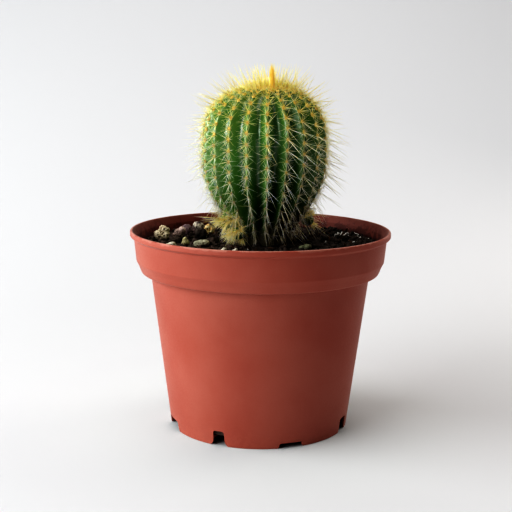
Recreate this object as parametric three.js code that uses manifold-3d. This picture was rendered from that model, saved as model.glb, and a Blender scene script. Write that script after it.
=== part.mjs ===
// Potted round cactus: a ribbed, golden-spined globe on a narrow foot, with three small offsets,
// standing in dark soil with loose stones, in a plastic nursery pot.
// Millimetres, +Z up. The origin is the middle of the pot's foot, on the surface it stands on.
// The front of the pot looks along -Y. Angles are measured from the front, positive towards +X.

import * as THREE from 'three';
import { mergeVertices } from 'three/addons/utils/BufferGeometryUtils.js';
import Module from 'manifold-3d';

const wasm = await Module();
wasm.setup();

// Clearance between pieces that rest on or stand in each other.
const gap = 0.3;

// Pot, a 12 cm nursery pot.
const potSides = 40;
const potWall = 1.1;
const potHeight = 91.6;
const rimRadius = 60;
const footRadius = 41.5;
const neckRadius = 50.7;
const neckHeight = 72.2;
const bandCorner = { radius: 54.6, height: 72.6 };
const bandRound = 1.25;
const bandStepLow = { radius: 56.0, height: 75.6 };
const bandStepHigh = { radius: 57.3, height: 78.0 };
const bandTop = { radius: 58.3, height: 88.2 };
const lipHeight = 1.9;
const lipEdge = 0.4;
const plateHeight = 3;
const plateThickness = 1.2;
const drainHoles = { count: 6, radius: 4, ring: 22, sides: 8 };

// Foot notches of one half of the pot, repeated on the other half. They cut the edge of the base plate
// too, so that water runs out at the corner.
const notchInside = 7;
const footNotches = [
  { angle: -71, foot: 16.4, top: 13.0, height: 4.5 },
  { angle: -25, foot: 8.0, top: 4.8, height: 5.8 },
  { angle: 21, foot: 11.5, top: 9.5, height: 2.5 },
  { angle: 67, foot: 9.0, top: 6.5, height: 6.0 },
];

// Soil.
const soilHeight = 85;
const soilRelief = 0.9;
const soilRings = 7;

// Cactus stem.
const ribs = 19;
const sidesPerRib = 4;
const stemX = 1.4;
const stemRadius = 28.2;
const stemTop = 156.4;
const beltHeight = 131;
const crownExponent = 2.4;
const collarRadius = 12;
const waistPower = 1.62;
const ribDepth = 5.6;
const ribFadeLow = 85;
const ribFadeHigh = 97;
const flankFullness = 0.4;
const apexShift = 3;
const apexReach = 20;
const stemRows = 19;
const rootLength = 25;
const rootTip = 3;
const rootSides = 24;

// Spines. Areoles are spread evenly over a share of each rib's length.
const areoles = 17;
const firstAreole = 0.075;
const lastAreole = 0.88;
const spineRadius = 0.42;
const spineSpread = 0.55;
const spineSink = 1.2;
const crownSpines = 84;
const crownSpread = 15;
const crownLean = 0.75;
const tuftSpines = 7;
const tuftTop = 168.6;
const tuftRadius = 1.8;
const tuftStep = 0.6;
const wander = 0.22;
// A kept spine has at least this much room round it and past its tip.
const spineRoom = 0.45;

// Offsets budding from the stem's foot: the middle of each head, its radius and its number of spines.
const offsetPinch = 0.88;
const offsets = [
  { x: -15.4, y: -8.9, z: 96.5, radius: 4.4, spines: 40 },
  { x: -10.0, y: -12.2, z: 91.4, radius: 3.7, spines: 30 },
  { x: 21.6, y: 0.5, z: 96.3, radius: 3.9, spines: 34 },
];
const offsetSides = 12;

// Stones: middle, whole width, depth and height, how lumpy, colour. Wide ones have finer faces.
const fineStoneWidth = 8.2;
const stones = [
  { name: 'stone_pumice', at: [-46.6, 9.5, 87.8], size: [8.5, 7.6, 7.8], lumps: 0.16, color: 0xb3ad8c },
  { name: 'stone_purple_left', at: [-38.8, 14.6, 87.0], size: [7.4, 6.4, 6.8], lumps: 0.1, color: 0x5a4444 },
  { name: 'stone_purple_right', at: [-34.4, 22.6, 87.2], size: [7.8, 6.6, 7.0], lumps: 0.1, color: 0x644c4a },
  { name: 'stone_dark_lump', at: [-30.4, 31.2, 87.4], size: [6.8, 6.2, 6.6], lumps: 0.14, color: 0x4c3c36 },
  { name: 'stone_golden', at: [-25.0, 22.6, 87.2], size: [7.0, 6.0, 6.6], lumps: 0.14, color: 0xb98f4e },
  { name: 'stone_pale_small', at: [-34.2, -7.6, 86.6], size: [4.4, 4.2, 4.8], lumps: 0.1, color: 0xb0a890 },
  { name: 'stone_grey_long', at: [-26.8, -9.6, 86.1], size: [7.8, 4.8, 4.2], lumps: 0.08, color: 0x8d8b80 },
  { name: 'stone_rim_bright', at: [-40.6, -10.0, 85.7], size: [5.0, 3.6, 2.8], lumps: 0.08, color: 0xc9c2ae },
  { name: 'stone_front_large', at: [-16.2, -23, 85.6], size: [3.6, 3.2, 2.6], lumps: 0.08, color: 0xc4bfae },
  { name: 'stone_front_small', at: [-11.4, -24.6, 85.6], size: [2.8, 2.6, 2.4], lumps: 0, color: 0xbdb8a8 },
  { name: 'stone_right_green', at: [20.1, -15.4, 85.8], size: [6.3, 4.6, 3.4], lumps: 0.08, color: 0x6c7466 },
];

// Turning by this angle from one spine to the next spreads them evenly over a round surface.
const goldenAngle = Math.PI * (3 - Math.sqrt(5));

// A small repeatable random source, so that every build is the same.
function makeRandom(seed) {
  let state = seed;
  return () => {
    state = (Math.imul(state, 1664525) + 1013904223) >>> 0;
    return state / 4294967296;
  };
}

// Merge a geometry's corners, drop empty triangles and turn it into a solid facing outwards.
function toSolid(geometry) {
  const bare = geometry.clone();
  bare.deleteAttribute('normal');
  bare.deleteAttribute('uv');
  const merged = mergeVertices(bare, 1e-4);
  const vertProperties = new Float32Array(merged.attributes.position.array);
  const index = Array.from(merged.index.array);
  const kept = [];
  let volume = 0;
  const a = new THREE.Vector3();
  const b = new THREE.Vector3();
  const c = new THREE.Vector3();
  for (let i = 0; i < index.length; i += 3) {
    const [ia, ib, ic] = index.slice(i, i + 3);
    if (ia === ib || ib === ic || ic === ia) continue;
    a.fromArray(vertProperties, 3 * ia);
    b.fromArray(vertProperties, 3 * ib);
    c.fromArray(vertProperties, 3 * ic);
    volume += a.dot(b.cross(c));
    kept.push(ia, ib, ic);
  }
  if (volume < 0) {
    kept.reverse();
  }
  const triVerts = new Uint32Array(kept);
  return new wasm.Manifold(new wasm.Mesh({ numProp: 3, vertProperties, triVerts }));
}

function toGeometry(solid) {
  const mesh = solid.getMesh();
  const geometry = new THREE.BufferGeometry();
  geometry.setAttribute('position', new THREE.BufferAttribute(mesh.vertProperties, 3));
  geometry.setIndex(new THREE.BufferAttribute(mesh.triVerts, 1));
  geometry.computeVertexNormals();
  return geometry;
}

// A turned shape: profile points are radius and height, and the seam lies at the front.
function turned(profile, sides) {
  const points = profile.map(([radius, height]) => new THREE.Vector2(radius, height));
  const geometry = new THREE.LatheGeometry(points, sides);
  geometry.rotateX(Math.PI / 2);
  return geometry;
}

// Move every corner of a geometry by a rule.
function reshape(geometry, rule) {
  const position = geometry.attributes.position;
  const point = new THREE.Vector3();
  for (let i = 0; i < position.count; i += 1) {
    point.fromBufferAttribute(position, i);
    rule(point, i);
    position.setXYZ(i, point.x, point.y, point.z);
  }
  return geometry;
}

function piece(name, geometry, color, roughness) {
  const material = new THREE.MeshStandardMaterial({ color, roughness, metalness: 0 });
  const mesh = new THREE.Mesh(geometry, material);
  mesh.name = name;
  return mesh;
}

// Radius of the pot's outer wall below the band, a straight taper.
function wallRadius(height) {
  return THREE.MathUtils.lerp(footRadius, neckRadius, height / neckHeight);
}

function potOuterProfile() {
  const rows = [0, 0.33, 0.67, 1].map((t) => [wallRadius(t * neckHeight), t * neckHeight]);
  return [
    ...rows,
    [bandCorner.radius, bandCorner.height],
    [bandCorner.radius + bandRound, bandCorner.height + bandRound],
    [bandStepLow.radius, bandStepLow.height],
    [bandStepHigh.radius, bandStepHigh.height],
    [bandTop.radius, bandTop.height],
    [rimRadius, potHeight - lipHeight],
    [rimRadius, potHeight - lipEdge],
    [rimRadius - lipEdge, potHeight],
  ];
}

// Inside of the pot above the plate, from the top down.
function potInnerProfile(clearance) {
  const ledge = neckHeight + potWall;
  const inset = potWall + clearance;
  const rows = [0.67, 0.33].map((t) => [wallRadius(t * ledge) - inset, t * ledge + clearance]);
  return [
    [bandTop.radius - inset, bandTop.height + clearance],
    [bandStepHigh.radius - inset, bandStepHigh.height + clearance],
    [bandStepLow.radius - inset, bandStepLow.height + clearance],
    [bandCorner.radius - inset, ledge + clearance],
    [neckRadius - inset, ledge + clearance],
    ...rows,
    [wallRadius(plateHeight + plateThickness) - inset, plateHeight + plateThickness + clearance],
  ];
}

// One foot notch: an outline with flared lower corners, pushed through the wall.
function notchSolid(notch) {
  const shape = new THREE.Shape();
  const flare = (notch.foot - notch.top) / 2;
  const halfTop = notch.top / 2;
  const corner = Math.min(1, notch.height / 3);
  shape.moveTo(-notch.foot / 2, -1);
  shape.lineTo(-notch.foot / 2, 0);
  shape.quadraticCurveTo(-halfTop, 0, -halfTop, Math.min(flare, notch.height - corner));
  shape.lineTo(-halfTop, notch.height - corner);
  shape.quadraticCurveTo(-halfTop, notch.height, -halfTop + corner, notch.height);
  shape.lineTo(halfTop - corner, notch.height);
  shape.quadraticCurveTo(halfTop, notch.height, halfTop, notch.height - corner);
  shape.lineTo(halfTop, Math.min(flare, notch.height - corner));
  shape.quadraticCurveTo(halfTop, 0, notch.foot / 2, 0);
  shape.lineTo(notch.foot / 2, -1);
  const geometry = new THREE.ExtrudeGeometry(shape, {
    depth: 2 * notchInside,
    bevelEnabled: false,
    curveSegments: 3,
  });
  geometry.rotateX(Math.PI / 2);
  geometry.translate(0, notchInside - footRadius, 0);
  geometry.rotateZ(THREE.MathUtils.degToRad(notch.angle));
  return toSolid(geometry);
}

function buildPot() {
  const plateTop = plateHeight + plateThickness;
  const profile = [
    ...potOuterProfile(),
    [rimRadius - potWall, potHeight],
    ...potInnerProfile(0),
    [0, plateTop],
    [0, plateHeight],
    [wallRadius(plateHeight) - potWall, plateHeight],
    [footRadius - potWall, 0],
    [footRadius, 0],
  ];
  let pot = toSolid(turned(profile, potSides));
  for (const notch of footNotches) {
    pot = pot.subtract(notchSolid(notch));
    pot = pot.subtract(notchSolid({ ...notch, angle: notch.angle + 180 }));
  }
  for (let i = 0; i < drainHoles.count; i += 1) {
    const hole = new THREE.CylinderGeometry(drainHoles.radius, drainHoles.radius, 6, drainHoles.sides);
    hole.rotateX(Math.PI / 2);
    hole.translate(0, -drainHoles.ring, plateHeight);
    hole.rotateZ((2 * Math.PI * (i + 0.5)) / drainHoles.count);
    pot = pot.subtract(toSolid(hole));
  }
  return pot;
}

// Height of the crumbly soil surface above its level, as crossing waves of unlike length.
function soilWave(x, y) {
  const broad = Math.sin(0.23 * x + 1.3) * Math.cos(0.19 * y - 0.4);
  const fine = Math.sin(0.71 * x - 0.53 * y) + Math.cos(0.62 * x + 0.83 * y + 2.1);
  return soilRelief * (0.45 * broad + 0.28 * fine);
}

function buildSoil() {
  const side = potInnerProfile(gap).slice(1).reverse();
  const bottom = side[0][1];
  const slope = (bandTop.radius - bandStepHigh.radius) / (bandTop.height - bandStepHigh.height);
  const edge = bandStepHigh.radius + slope * (soilHeight - bandStepHigh.height) - potWall - gap;
  const rings = [];
  for (let i = 0; i < soilRings; i += 1) {
    rings.push([edge * (1 - i / soilRings), soilHeight]);
  }
  const profile = [[0, bottom], ...side, ...rings, [0, soilHeight]];
  return reshape(turned(profile, potSides), (point) => {
    const radius = Math.hypot(point.x, point.y);
    const inside = THREE.MathUtils.smoothstep(edge - radius, 0, 5);
    if (point.z > soilHeight - 0.01) {
      point.z += inside * soilWave(point.x, point.y);
    }
  });
}

// The outline of the stem over its rib crests, from the middle of the crown down to the soil:
// a rounded shoulder, then a waist that runs in to the collar.
class StemOutline extends THREE.Curve {
  getPoint(t) {
    if (t < 0.5) {
      const angle = Math.PI * (0.5 - t);
      const radius = stemRadius * Math.cos(angle) ** (2 / crownExponent);
      const height = beltHeight + (stemTop - beltHeight) * Math.sin(angle) ** (2 / crownExponent);
      return new THREE.Vector3(radius, 0, height);
    }
    const run = 2 * t - 1;
    const draw = (1 - Math.cos(Math.PI * run ** waistPower)) / 2;
    const radius = THREE.MathUtils.lerp(stemRadius, collarRadius, draw);
    return new THREE.Vector3(radius, 0, THREE.MathUtils.lerp(beltHeight, soilHeight, run));
  }
}

const outline = new StemOutline();

// Outward direction of the outline, as radius and height, at a share of its length.
function outlineNormal(share) {
  const tangent = outline.getTangentAt(share);
  return [-tangent.z, tangent.x];
}

// How far a point lies below the crests: 0 on a crest, 1 in a valley, with full flanks.
function valleyShare(angle) {
  const phase = Math.abs(((angle * ribs) / (2 * Math.PI)) % 1);
  const across = 2 * Math.min(phase, 1 - phase);
  return across + flankFullness * (across * across - across);
}

// Depth of the valleys, which fade out at the apex and at the collar.
function valleyDepth(radius, height) {
  const fade = THREE.MathUtils.smoothstep(height, ribFadeLow, ribFadeHigh);
  return ribDepth * Math.min(1, radius / stemRadius) * fade;
}

// The growing point sits a little to one side of the crown.
function shiftApex(point) {
  const radius = Math.hypot(point.x, point.y);
  if (radius < apexReach && point.z > beltHeight) {
    point.x += apexShift * (1 - (radius / apexReach) ** 2) ** 2;
  }
  point.x += stemX;
  return point;
}

// A point of the ribbed surface at a share of the outline and an angle round the stem.
function stemPoint(share, angle) {
  const at = outline.getPointAt(share);
  const [outR, outZ] = outlineNormal(share);
  const sink = valleyDepth(at.x, at.z) * valleyShare(angle);
  const radius = Math.max(0, at.x - outR * sink);
  const point = new THREE.Vector3(radius * Math.sin(angle), -radius * Math.cos(angle), at.z - outZ * sink);
  return shiftApex(point);
}

// The root: it keeps the collar's radius for a little way into the soil and then tapers.
function rootProfile(clearance) {
  return [
    [collarRadius + clearance, soilHeight - 0.2 * rootLength],
    [0.55 * collarRadius + clearance, soilHeight - 0.6 * rootLength],
    [rootTip + clearance, soilHeight - rootLength - clearance],
    [0, soilHeight - rootLength - clearance],
  ];
}

// The plain round hole that the root and the collar stand in.
function rootHole() {
  const above = [[0, soilHeight + 5], [collarRadius + gap, soilHeight + 5]];
  const geometry = turned([...above, ...rootProfile(gap)], rootSides);
  geometry.translate(stemX, 0, 0);
  return toSolid(geometry);
}

// The ribbed body, with a tapering root below the collar.
function buildStemBody() {
  const rows = stemRows + 1;
  const profile = [];
  for (let j = 0; j < rows; j += 1) {
    const at = outline.getPointAt(j / stemRows);
    profile.push([at.x, at.z]);
  }
  profile.push(...rootProfile(0));
  const geometry = turned(profile, ribs * sidesPerRib);
  return reshape(geometry, (point, i) => {
    const row = i % profile.length;
    if (row < rows) {
      const column = Math.floor(i / profile.length) % (ribs * sidesPerRib);
      point.copy(stemPoint(row / stemRows, (2 * Math.PI * column) / (ribs * sidesPerRib)));
    } else {
      point.x += stemX;
    }
  });
}

// One three-sided spine, from a root sunk in the flesh to its point.
function spine(root, direction, length, radius) {
  const geometry = new THREE.ConeGeometry(radius, length + spineSink, 3);
  geometry.translate(0, (length + spineSink) / 2 - spineSink, 0);
  const turn = new THREE.Quaternion().setFromUnitVectors(new THREE.Vector3(0, 1, 0), direction);
  geometry.applyQuaternion(turn);
  geometry.translate(root.x, root.y, root.z);
  return geometry;
}

// Keep a spine only where a slightly fatter one touches none of the neighbours.
function staysClear(root, direction, length, neighbours) {
  const guard = spine(root, direction, length + 2 * spineRoom, spineRadius + spineRoom);
  guard.computeBoundingBox();
  const solid = toSolid(guard);
  return neighbours.every(({ box, solid: other }) => {
    return !box.intersectsBox(guard.boundingBox) || solid.intersect(other).isEmpty();
  });
}

// Four ways that the areoles' spines point, taken in turn: shares of outwards, upwards and sideways.
const spineWays = [
  { out: 0.9, up: -0.42, side: 0.1, length: 10.5 },
  { out: 0.62, up: -0.1, side: 0.78, length: 7.5 },
  { out: 0.62, up: -0.1, side: -0.78, length: 7.5 },
  { out: 0.95, up: 0.3, side: -0.1, length: 9 },
];

function areoleSpines(random) {
  const found = [];
  for (let rib = 0; rib < ribs; rib += 1) {
    const angle = (2 * Math.PI * rib) / ribs;
    for (let i = 0; i < areoles; i += 1) {
      const share = THREE.MathUtils.lerp(firstAreole, lastAreole, i / (areoles - 1));
      const [outR, outZ] = outlineNormal(share);
      const radial = new THREE.Vector3(Math.sin(angle), -Math.cos(angle), 0);
      const out = radial.clone().multiplyScalar(outR).setZ(outZ);
      const up = radial.clone().multiplyScalar(-outZ).setZ(outR);
      const side = new THREE.Vector3(Math.cos(angle), Math.sin(angle), 0);
      const way = spineWays[(i + 2 * rib) % spineWays.length];
      const direction = new THREE.Vector3()
        .addScaledVector(out, way.out)
        .addScaledVector(up, way.up + wander * (random() - 0.5))
        .addScaledVector(side, way.side + wander * (random() - 0.5))
        .normalize();
      const beside = (spineSpread * Math.sign(way.side)) / outline.getPointAt(share).x;
      const root = stemPoint(share, angle + beside);
      found.push({ root, direction, length: way.length * (0.9 + 0.3 * random()) });
    }
  }
  return found;
}

// Upright golden spines of the crown, spread evenly by the golden angle, and the tuft at its middle.
function crownTuft(random) {
  const found = [];
  for (let i = 0; i < crownSpines; i += 1) {
    const radius = crownSpread * Math.sqrt((i + 0.5) / crownSpines);
    const angle = i * goldenAngle;
    const lean = crownLean * (radius / crownSpread) ** 1.5;
    const root = stemPoint(radius / outline.getLength(), angle);
    const direction = new THREE.Vector3(
      lean * Math.sin(angle) + wander * (random() - 0.5),
      -lean * Math.cos(angle) + wander * (random() - 0.5),
      1,
    ).normalize();
    found.push({ root, direction, length: 8 + 3 * random() });
  }
  for (let i = 0; i < tuftSpines; i += 1) {
    const angle = i * goldenAngle;
    const radius = tuftRadius * Math.sqrt(i / tuftSpines);
    const root = new THREE.Vector3(radius * Math.cos(angle), radius * Math.sin(angle), stemTop);
    const direction = new THREE.Vector3(0.05 * Math.cos(angle), 0.05 * Math.sin(angle), 1).normalize();
    root.x += stemX + apexShift;
    found.push({ root, direction, length: tuftTop - stemTop - tuftStep * i });
  }
  return found;
}

function growSpines(bodies, places, neighbours) {
  const solids = bodies.map(toSolid);
  for (const { root, direction, length } of places) {
    if (staysClear(root, direction, length, neighbours)) {
      solids.push(toSolid(spine(root, direction, length, spineRadius)));
    }
  }
  return wasm.Manifold.union(solids);
}

function asNeighbour(solid) {
  const geometry = toGeometry(solid);
  geometry.computeBoundingBox();
  return { box: geometry.boundingBox, solid };
}

// The head of an offset: a small ball whose ribs show as alternate pinched sides.
function offsetBody(offset) {
  const geometry = new THREE.SphereGeometry(offset.radius, offsetSides, offsetSides / 2);
  geometry.rotateX(Math.PI / 2);
  return reshape(geometry, (point, i) => {
    const column = (i % (offsetSides + 1)) % 2;
    const pinch = column === 1 ? offsetPinch : 1;
    point.set(point.x * pinch + offset.x, point.y * pinch + offset.y, point.z + offset.z);
  });
}

// Spines of an offset, spread evenly over its head by the golden angle.
function offsetSpines(offset, random) {
  const found = [];
  for (let i = 0; i < offset.spines; i += 1) {
    const lift = 1 - 1.6 * ((i + 0.5) / offset.spines);
    const around = Math.sqrt(1 - lift * lift);
    const angle = i * goldenAngle;
    const direction = new THREE.Vector3(around * Math.cos(angle), around * Math.sin(angle), lift);
    const root = direction.clone().multiplyScalar(0.9 * offset.radius);
    root.add(new THREE.Vector3(offset.x, offset.y, offset.z));
    const away = (root.x - stemX) * direction.x + root.y * direction.y;
    if (away > 0) {
      found.push({ root, direction, length: 3.6 + 2.4 * random() });
    }
  }
  return found;
}

// A lumpy stone: a ball of triangles swollen and dented by a few waves, then sized.
function stoneGeometry(stone, clearance, order) {
  const [width, depth, height] = stone.size;
  const [x, y, z] = stone.at;
  const geometry = new THREE.IcosahedronGeometry(1, width > fineStoneWidth ? 2 : 1);
  const turn = new THREE.Quaternion().setFromAxisAngle(new THREE.Vector3(1, 2, 3).normalize(), order);
  return reshape(geometry, (point) => {
    point.applyQuaternion(turn);
    const swell = Math.sin(3.1 * point.x + 1.7 * order);
    const dent = Math.sin(3.7 * point.y + order) * Math.cos(2.9 * point.z);
    point.multiplyScalar(1 + 0.5 * stone.lumps * (swell + dent - 1));
    point.x = x + point.x * (width / 2 + clearance);
    point.y = y + point.y * (depth / 2 + clearance);
    point.z = z + point.z * (height / 2 + clearance);
  });
}

// Soil with the hole for the root and a seat for each stone, the stones, and the cactus clear of them.
function buildPlanting() {
  let soil = toSolid(buildSoil()).subtract(rootHole());
  const seated = stones.map((stone, order) => {
    soil = soil.subtract(toSolid(stoneGeometry(stone, 1.4 * gap, order)));
    return toSolid(stoneGeometry(stone, 0, order));
  });
  const random = makeRandom(19);
  const bodies = [buildStemBody(), ...offsets.map(offsetBody)];
  const places = [
    ...areoleSpines(random),
    ...crownTuft(random),
    ...offsets.flatMap((offset) => offsetSpines(offset, random)),
  ];
  const cactus = growSpines(bodies, places, [soil, ...seated].map(asNeighbour));
  return { soil, cactus, seated };
}

const plant = new THREE.Group();
const { soil, cactus, seated } = buildPlanting();
plant.add(piece('pot', toGeometry(buildPot()), 0x9a4636, 0.5));
plant.add(piece('soil', toGeometry(soil), 0x2b211c, 0.95));
plant.add(piece('cactus', toGeometry(cactus), 0x47703a, 0.55));
stones.forEach((stone, order) => {
  plant.add(piece(stone.name, toGeometry(seated[order]), stone.color, 0.85));
});

export default plant;
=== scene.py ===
"""Looks of the potted round cactus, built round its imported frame.

Metres, +Z up. The front of the pot looks along -Y, and angles round the pot are measured from the
front, positive towards +X. Lengths are written in millimetres times MM.
"""

import itertools
import logging
import math
from dataclasses import dataclass, field
from enum import Enum

import bmesh
import bpy
import numpy as np
from mathutils import Matrix, Vector


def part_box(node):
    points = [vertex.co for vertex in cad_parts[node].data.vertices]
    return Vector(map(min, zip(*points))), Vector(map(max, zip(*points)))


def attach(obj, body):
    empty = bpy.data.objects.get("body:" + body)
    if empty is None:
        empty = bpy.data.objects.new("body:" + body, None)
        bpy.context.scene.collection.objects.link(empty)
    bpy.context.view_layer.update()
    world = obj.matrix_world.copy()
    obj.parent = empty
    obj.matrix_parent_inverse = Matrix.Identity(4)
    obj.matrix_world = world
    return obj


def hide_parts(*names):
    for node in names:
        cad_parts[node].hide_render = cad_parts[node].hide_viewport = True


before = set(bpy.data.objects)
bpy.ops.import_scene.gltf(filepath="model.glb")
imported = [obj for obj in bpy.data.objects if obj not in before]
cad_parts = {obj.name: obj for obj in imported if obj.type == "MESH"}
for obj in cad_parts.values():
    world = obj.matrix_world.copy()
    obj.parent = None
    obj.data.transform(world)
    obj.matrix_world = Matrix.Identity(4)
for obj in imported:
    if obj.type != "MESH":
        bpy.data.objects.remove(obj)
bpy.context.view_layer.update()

BODY = "root"
MM = 0.001
TURN = 2 * math.pi
GOLDEN_ANGLE = math.pi * (3 - math.sqrt(5))
GOLDEN_SHARE = 0.6180339
Array = np.ndarray
Colour = tuple[float, float, float]

logging.basicConfig(level=logging.INFO, format="%(message)s")
log = logging.getLogger("cactus")


def smooth_ramp(values: Array, low: float, high: float) -> Array:
    """Rise smoothly from 0 at `low` to 1 at `high`, as 3 t squared minus 2 t cubed.

    Args:
        values: Numbers to place on the ramp.
        low: Where the ramp starts.
        high: Where the ramp ends.

    Returns:
        The ramp's height for each number.
    """
    t = np.clip((np.asarray(values, dtype=float) - low) / (high - low), 0.0, 1.0)
    return t * t * (3 - 2 * t)


def blend(low: Array, high: Array, share: Array) -> Array:
    """Mix two values: low times (1 - share) plus high times share."""
    return low * (1 - share) + high * share


def ring_place(radius: Array, angle: Array, height: Array) -> Array:
    """Place on a ring round the Z axis: x is r sin a, y is -r cos a, with angle 0 at the front."""
    return np.stack(np.broadcast_arrays(radius * np.sin(angle), -radius * np.cos(angle), height), axis=-1)


def unit(vectors: Array) -> Array:
    """Scale each vector of the last axis to length 1."""
    return vectors / np.maximum(np.linalg.norm(vectors, axis=-1, keepdims=True), 1e-12)


def lattice_values(cells: Array, seed: int) -> Array:
    """Give each whole-number cell a repeatable value between 0 and 1, by mixing its bits.

    Args:
        cells: Whole-number cell coordinates, shape (..., 3).
        seed: Chooses one of many unlike patterns.

    Returns:
        One value for each cell.
    """
    mask = 0xFFFFFFFF
    cells = cells.astype(np.int64)
    mixed = (cells[..., 0] * 73856093) ^ (cells[..., 1] * 19349663) ^ (cells[..., 2] * 83492791)
    mixed = (mixed ^ (seed * 2654435761)) & mask
    mixed = ((mixed ^ (mixed >> 15)) * 2246822519) & mask
    mixed = ((mixed ^ (mixed >> 13)) * 3266489917) & mask
    return ((mixed ^ (mixed >> 16)) & 0xFFFFFF) / float(0x1000000)


def soft_noise(points: Array, size: float, seed: int) -> Array:
    """Smooth noise between -1 and 1: cell values blended over cells `size` wide.

    Args:
        points: Places, shape (..., 3), in metres.
        size: Width of a cell, in metres.
        seed: Chooses the pattern.

    Returns:
        One value for each place.
    """
    scaled = points / size
    base = np.floor(scaled)
    weight = scaled - base
    weight = weight * weight * (3 - 2 * weight)
    total = np.zeros(points.shape[:-1])
    for corner in itertools.product((0, 1), repeat=3):
        share = np.prod(np.where(corner, weight, 1 - weight), axis=-1)
        total += share * lattice_values(base + np.array(corner), seed)
    return 2 * total - 1


def rough_noise(points: Array, size: float, seed: int, layers: int = 4, fade: float = 0.5) -> Array:
    """Add up layers of soft noise, each half as wide and `fade` times as strong as the last.

    Args:
        points: Places, shape (..., 3), in metres.
        size: Cell width of the broadest layer.
        seed: Chooses the pattern.
        layers: How many layers.
        fade: Strength of each layer against the one before.

    Returns:
        One value for each place, about -1 to 1.
    """
    total = np.zeros(points.shape[:-1])
    reach = 0.0
    for layer in range(layers):
        total += fade**layer * soft_noise(points, size / 2**layer, seed + 17 * layer)
        reach += fade**layer
    return total / reach


def pit_noise(points: Array, size: float, seed: int) -> Array:
    """Distance to the nearest of one scattered point per cell, in cell widths.

    Args:
        points: Places, shape (..., 3), in metres.
        size: Width of a cell, in metres.
        seed: Chooses the pattern.

    Returns:
        One distance for each place, 0 at the middle of a pit.
    """
    scaled = points / size
    base = np.floor(scaled)
    nearest = np.full(points.shape[:-1], 9.0)
    for step in itertools.product((-1, 0, 1), repeat=3):
        cell = base + np.array(step)
        spot = np.stack([lattice_values(cell, seed + axis) for axis in range(3)], axis=-1)
        nearest = np.minimum(nearest, np.linalg.norm(cell + spot - scaled, axis=-1))
    return nearest


@dataclass
class Shape:
    """Corners, faces and per-corner marks of a mesh under construction.

    Args:
        corners: Shape (n, 3), in metres.
        faces: Arrays of corner numbers, each of shape (m, corners per face).
        marks: A value per corner for each named mark, which materials read.
    """

    corners: Array
    faces: list[Array]
    marks: dict[str, Array] = field(default_factory=dict)

    def volume(self) -> float:
        """Signed volume: a sixth of the sum of corner triple products over fans of triangles.

        Returns:
            The volume, below 0 for a shape that is inside out.
        """
        total = 0.0
        for face in self.faces:
            first = self.corners[face[:, 0]]
            for i in range(1, face.shape[1] - 1):
                second, third = self.corners[face[:, i]], self.corners[face[:, i + 1]]
                total += float(np.einsum("ij,ij->", first, np.cross(second, third)))
        return total / 6

    def facing_out(self) -> "Shape":
        """Turn every face over if the shape is inside out.

        Returns:
            The shape itself.
        """
        if self.volume() < 0:
            self.faces = [face[:, ::-1] for face in self.faces]
        return self


def joined(shapes: list[Shape]) -> Shape:
    """Put several shapes into one, keeping their order.

    Args:
        shapes: The shapes, which all carry the same marks.

    Returns:
        One shape with all their corners, faces and marks.
    """
    starts = np.cumsum([0] + [len(shape.corners) for shape in shapes])
    faces = [face + start for shape, start in zip(shapes, starts) for face in shape.faces]
    names = shapes[0].marks.keys()
    marks = {name: np.concatenate([shape.marks[name] for shape in shapes]) for name in names}
    return Shape(np.concatenate([shape.corners for shape in shapes]), faces, marks)


def skin(rings: Array, top: Array, bottom: Array) -> Shape:
    """Close a stack of rings into a skin, with a fan of triangles to a point at each end.

    Args:
        rings: Shape (rows, columns, 3), from the top down; the columns run round and close.
        top: The point above the first ring.
        bottom: The point below the last ring.

    Returns:
        A closed shape whose corners are the rings' points in order, then top and bottom.
    """
    rows, columns = rings.shape[:2]
    i = np.arange(rows - 1)[:, None] * columns
    j = np.arange(columns)[None, :]
    k = (j + 1) % columns
    quads = np.stack([i + j, i + columns + j, i + columns + k, i + k], axis=-1).reshape(-1, 4)
    j, k = j[0], k[0]
    last = (rows - 1) * columns
    top_fan = np.stack([np.full(columns, rows * columns), j, k], axis=-1)
    bottom_fan = np.stack([np.full(columns, rows * columns + 1), last + k, last + j], axis=-1)
    corners = np.concatenate([rings.reshape(-1, 3), [top], [bottom]])
    return Shape(corners, [quads, top_fan, bottom_fan]).facing_out()


def turned(radii: Array, heights: Array, columns: int) -> Shape:
    """Turn a profile round the Z axis: x is r times sin a, y is -r times cos a.

    Args:
        radii: Radius of each profile point; the first and last are 0, on the axis.
        heights: Height of each profile point.
        columns: How many steps round.

    Returns:
        A closed shape.
    """
    angle = TURN * np.arange(columns) / columns
    rings = ring_place(radii[1:-1, None], angle, heights[1:-1, None])
    return skin(rings, np.array([0, 0, heights[0]]), np.array([0, 0, heights[-1]]))


def rounded(points: list[tuple[float, float, float]], steps: int = 5) -> tuple[Array, Array]:
    """Round the corners of an outline, each with an arc that touches both of its sides.

    Args:
        points: Radius, height and rounding of each corner, in metres.
        steps: Pieces of each arc.

    Returns:
        The radii and the heights of the rounded outline.
    """
    spots = np.array(points)
    found = [spots[0, :2]]
    for before, (x, z, size), after in zip(spots[:-2, :2], spots[1:-1], spots[2:, :2]):
        corner = np.array([x, z])
        to_before, to_after = unit(before - corner), unit(after - corner)
        half = 0.5 * math.acos(np.clip(float(to_before @ to_after), -1, 1))
        if size == 0 or half > 0.49 * math.pi:
            found.append(corner)
            continue
        reach = min(np.linalg.norm(before - corner), np.linalg.norm(after - corner)) * 0.49
        back = min(size / math.tan(half), reach)
        centre = corner + unit(to_before + to_after) * back / math.cos(half)
        start, end = corner + to_before * back, corner + to_after * back
        radius = np.linalg.norm(start - centre)
        shares = np.linspace(0, 1, steps + 1)[:, None]
        arc = centre + radius * unit(blend(start - centre, end - centre, shares))
        found.extend(arc)
    found.append(spots[-1, :2])
    outline = np.array(found)
    return outline[:, 0], outline[:, 1]


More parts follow.
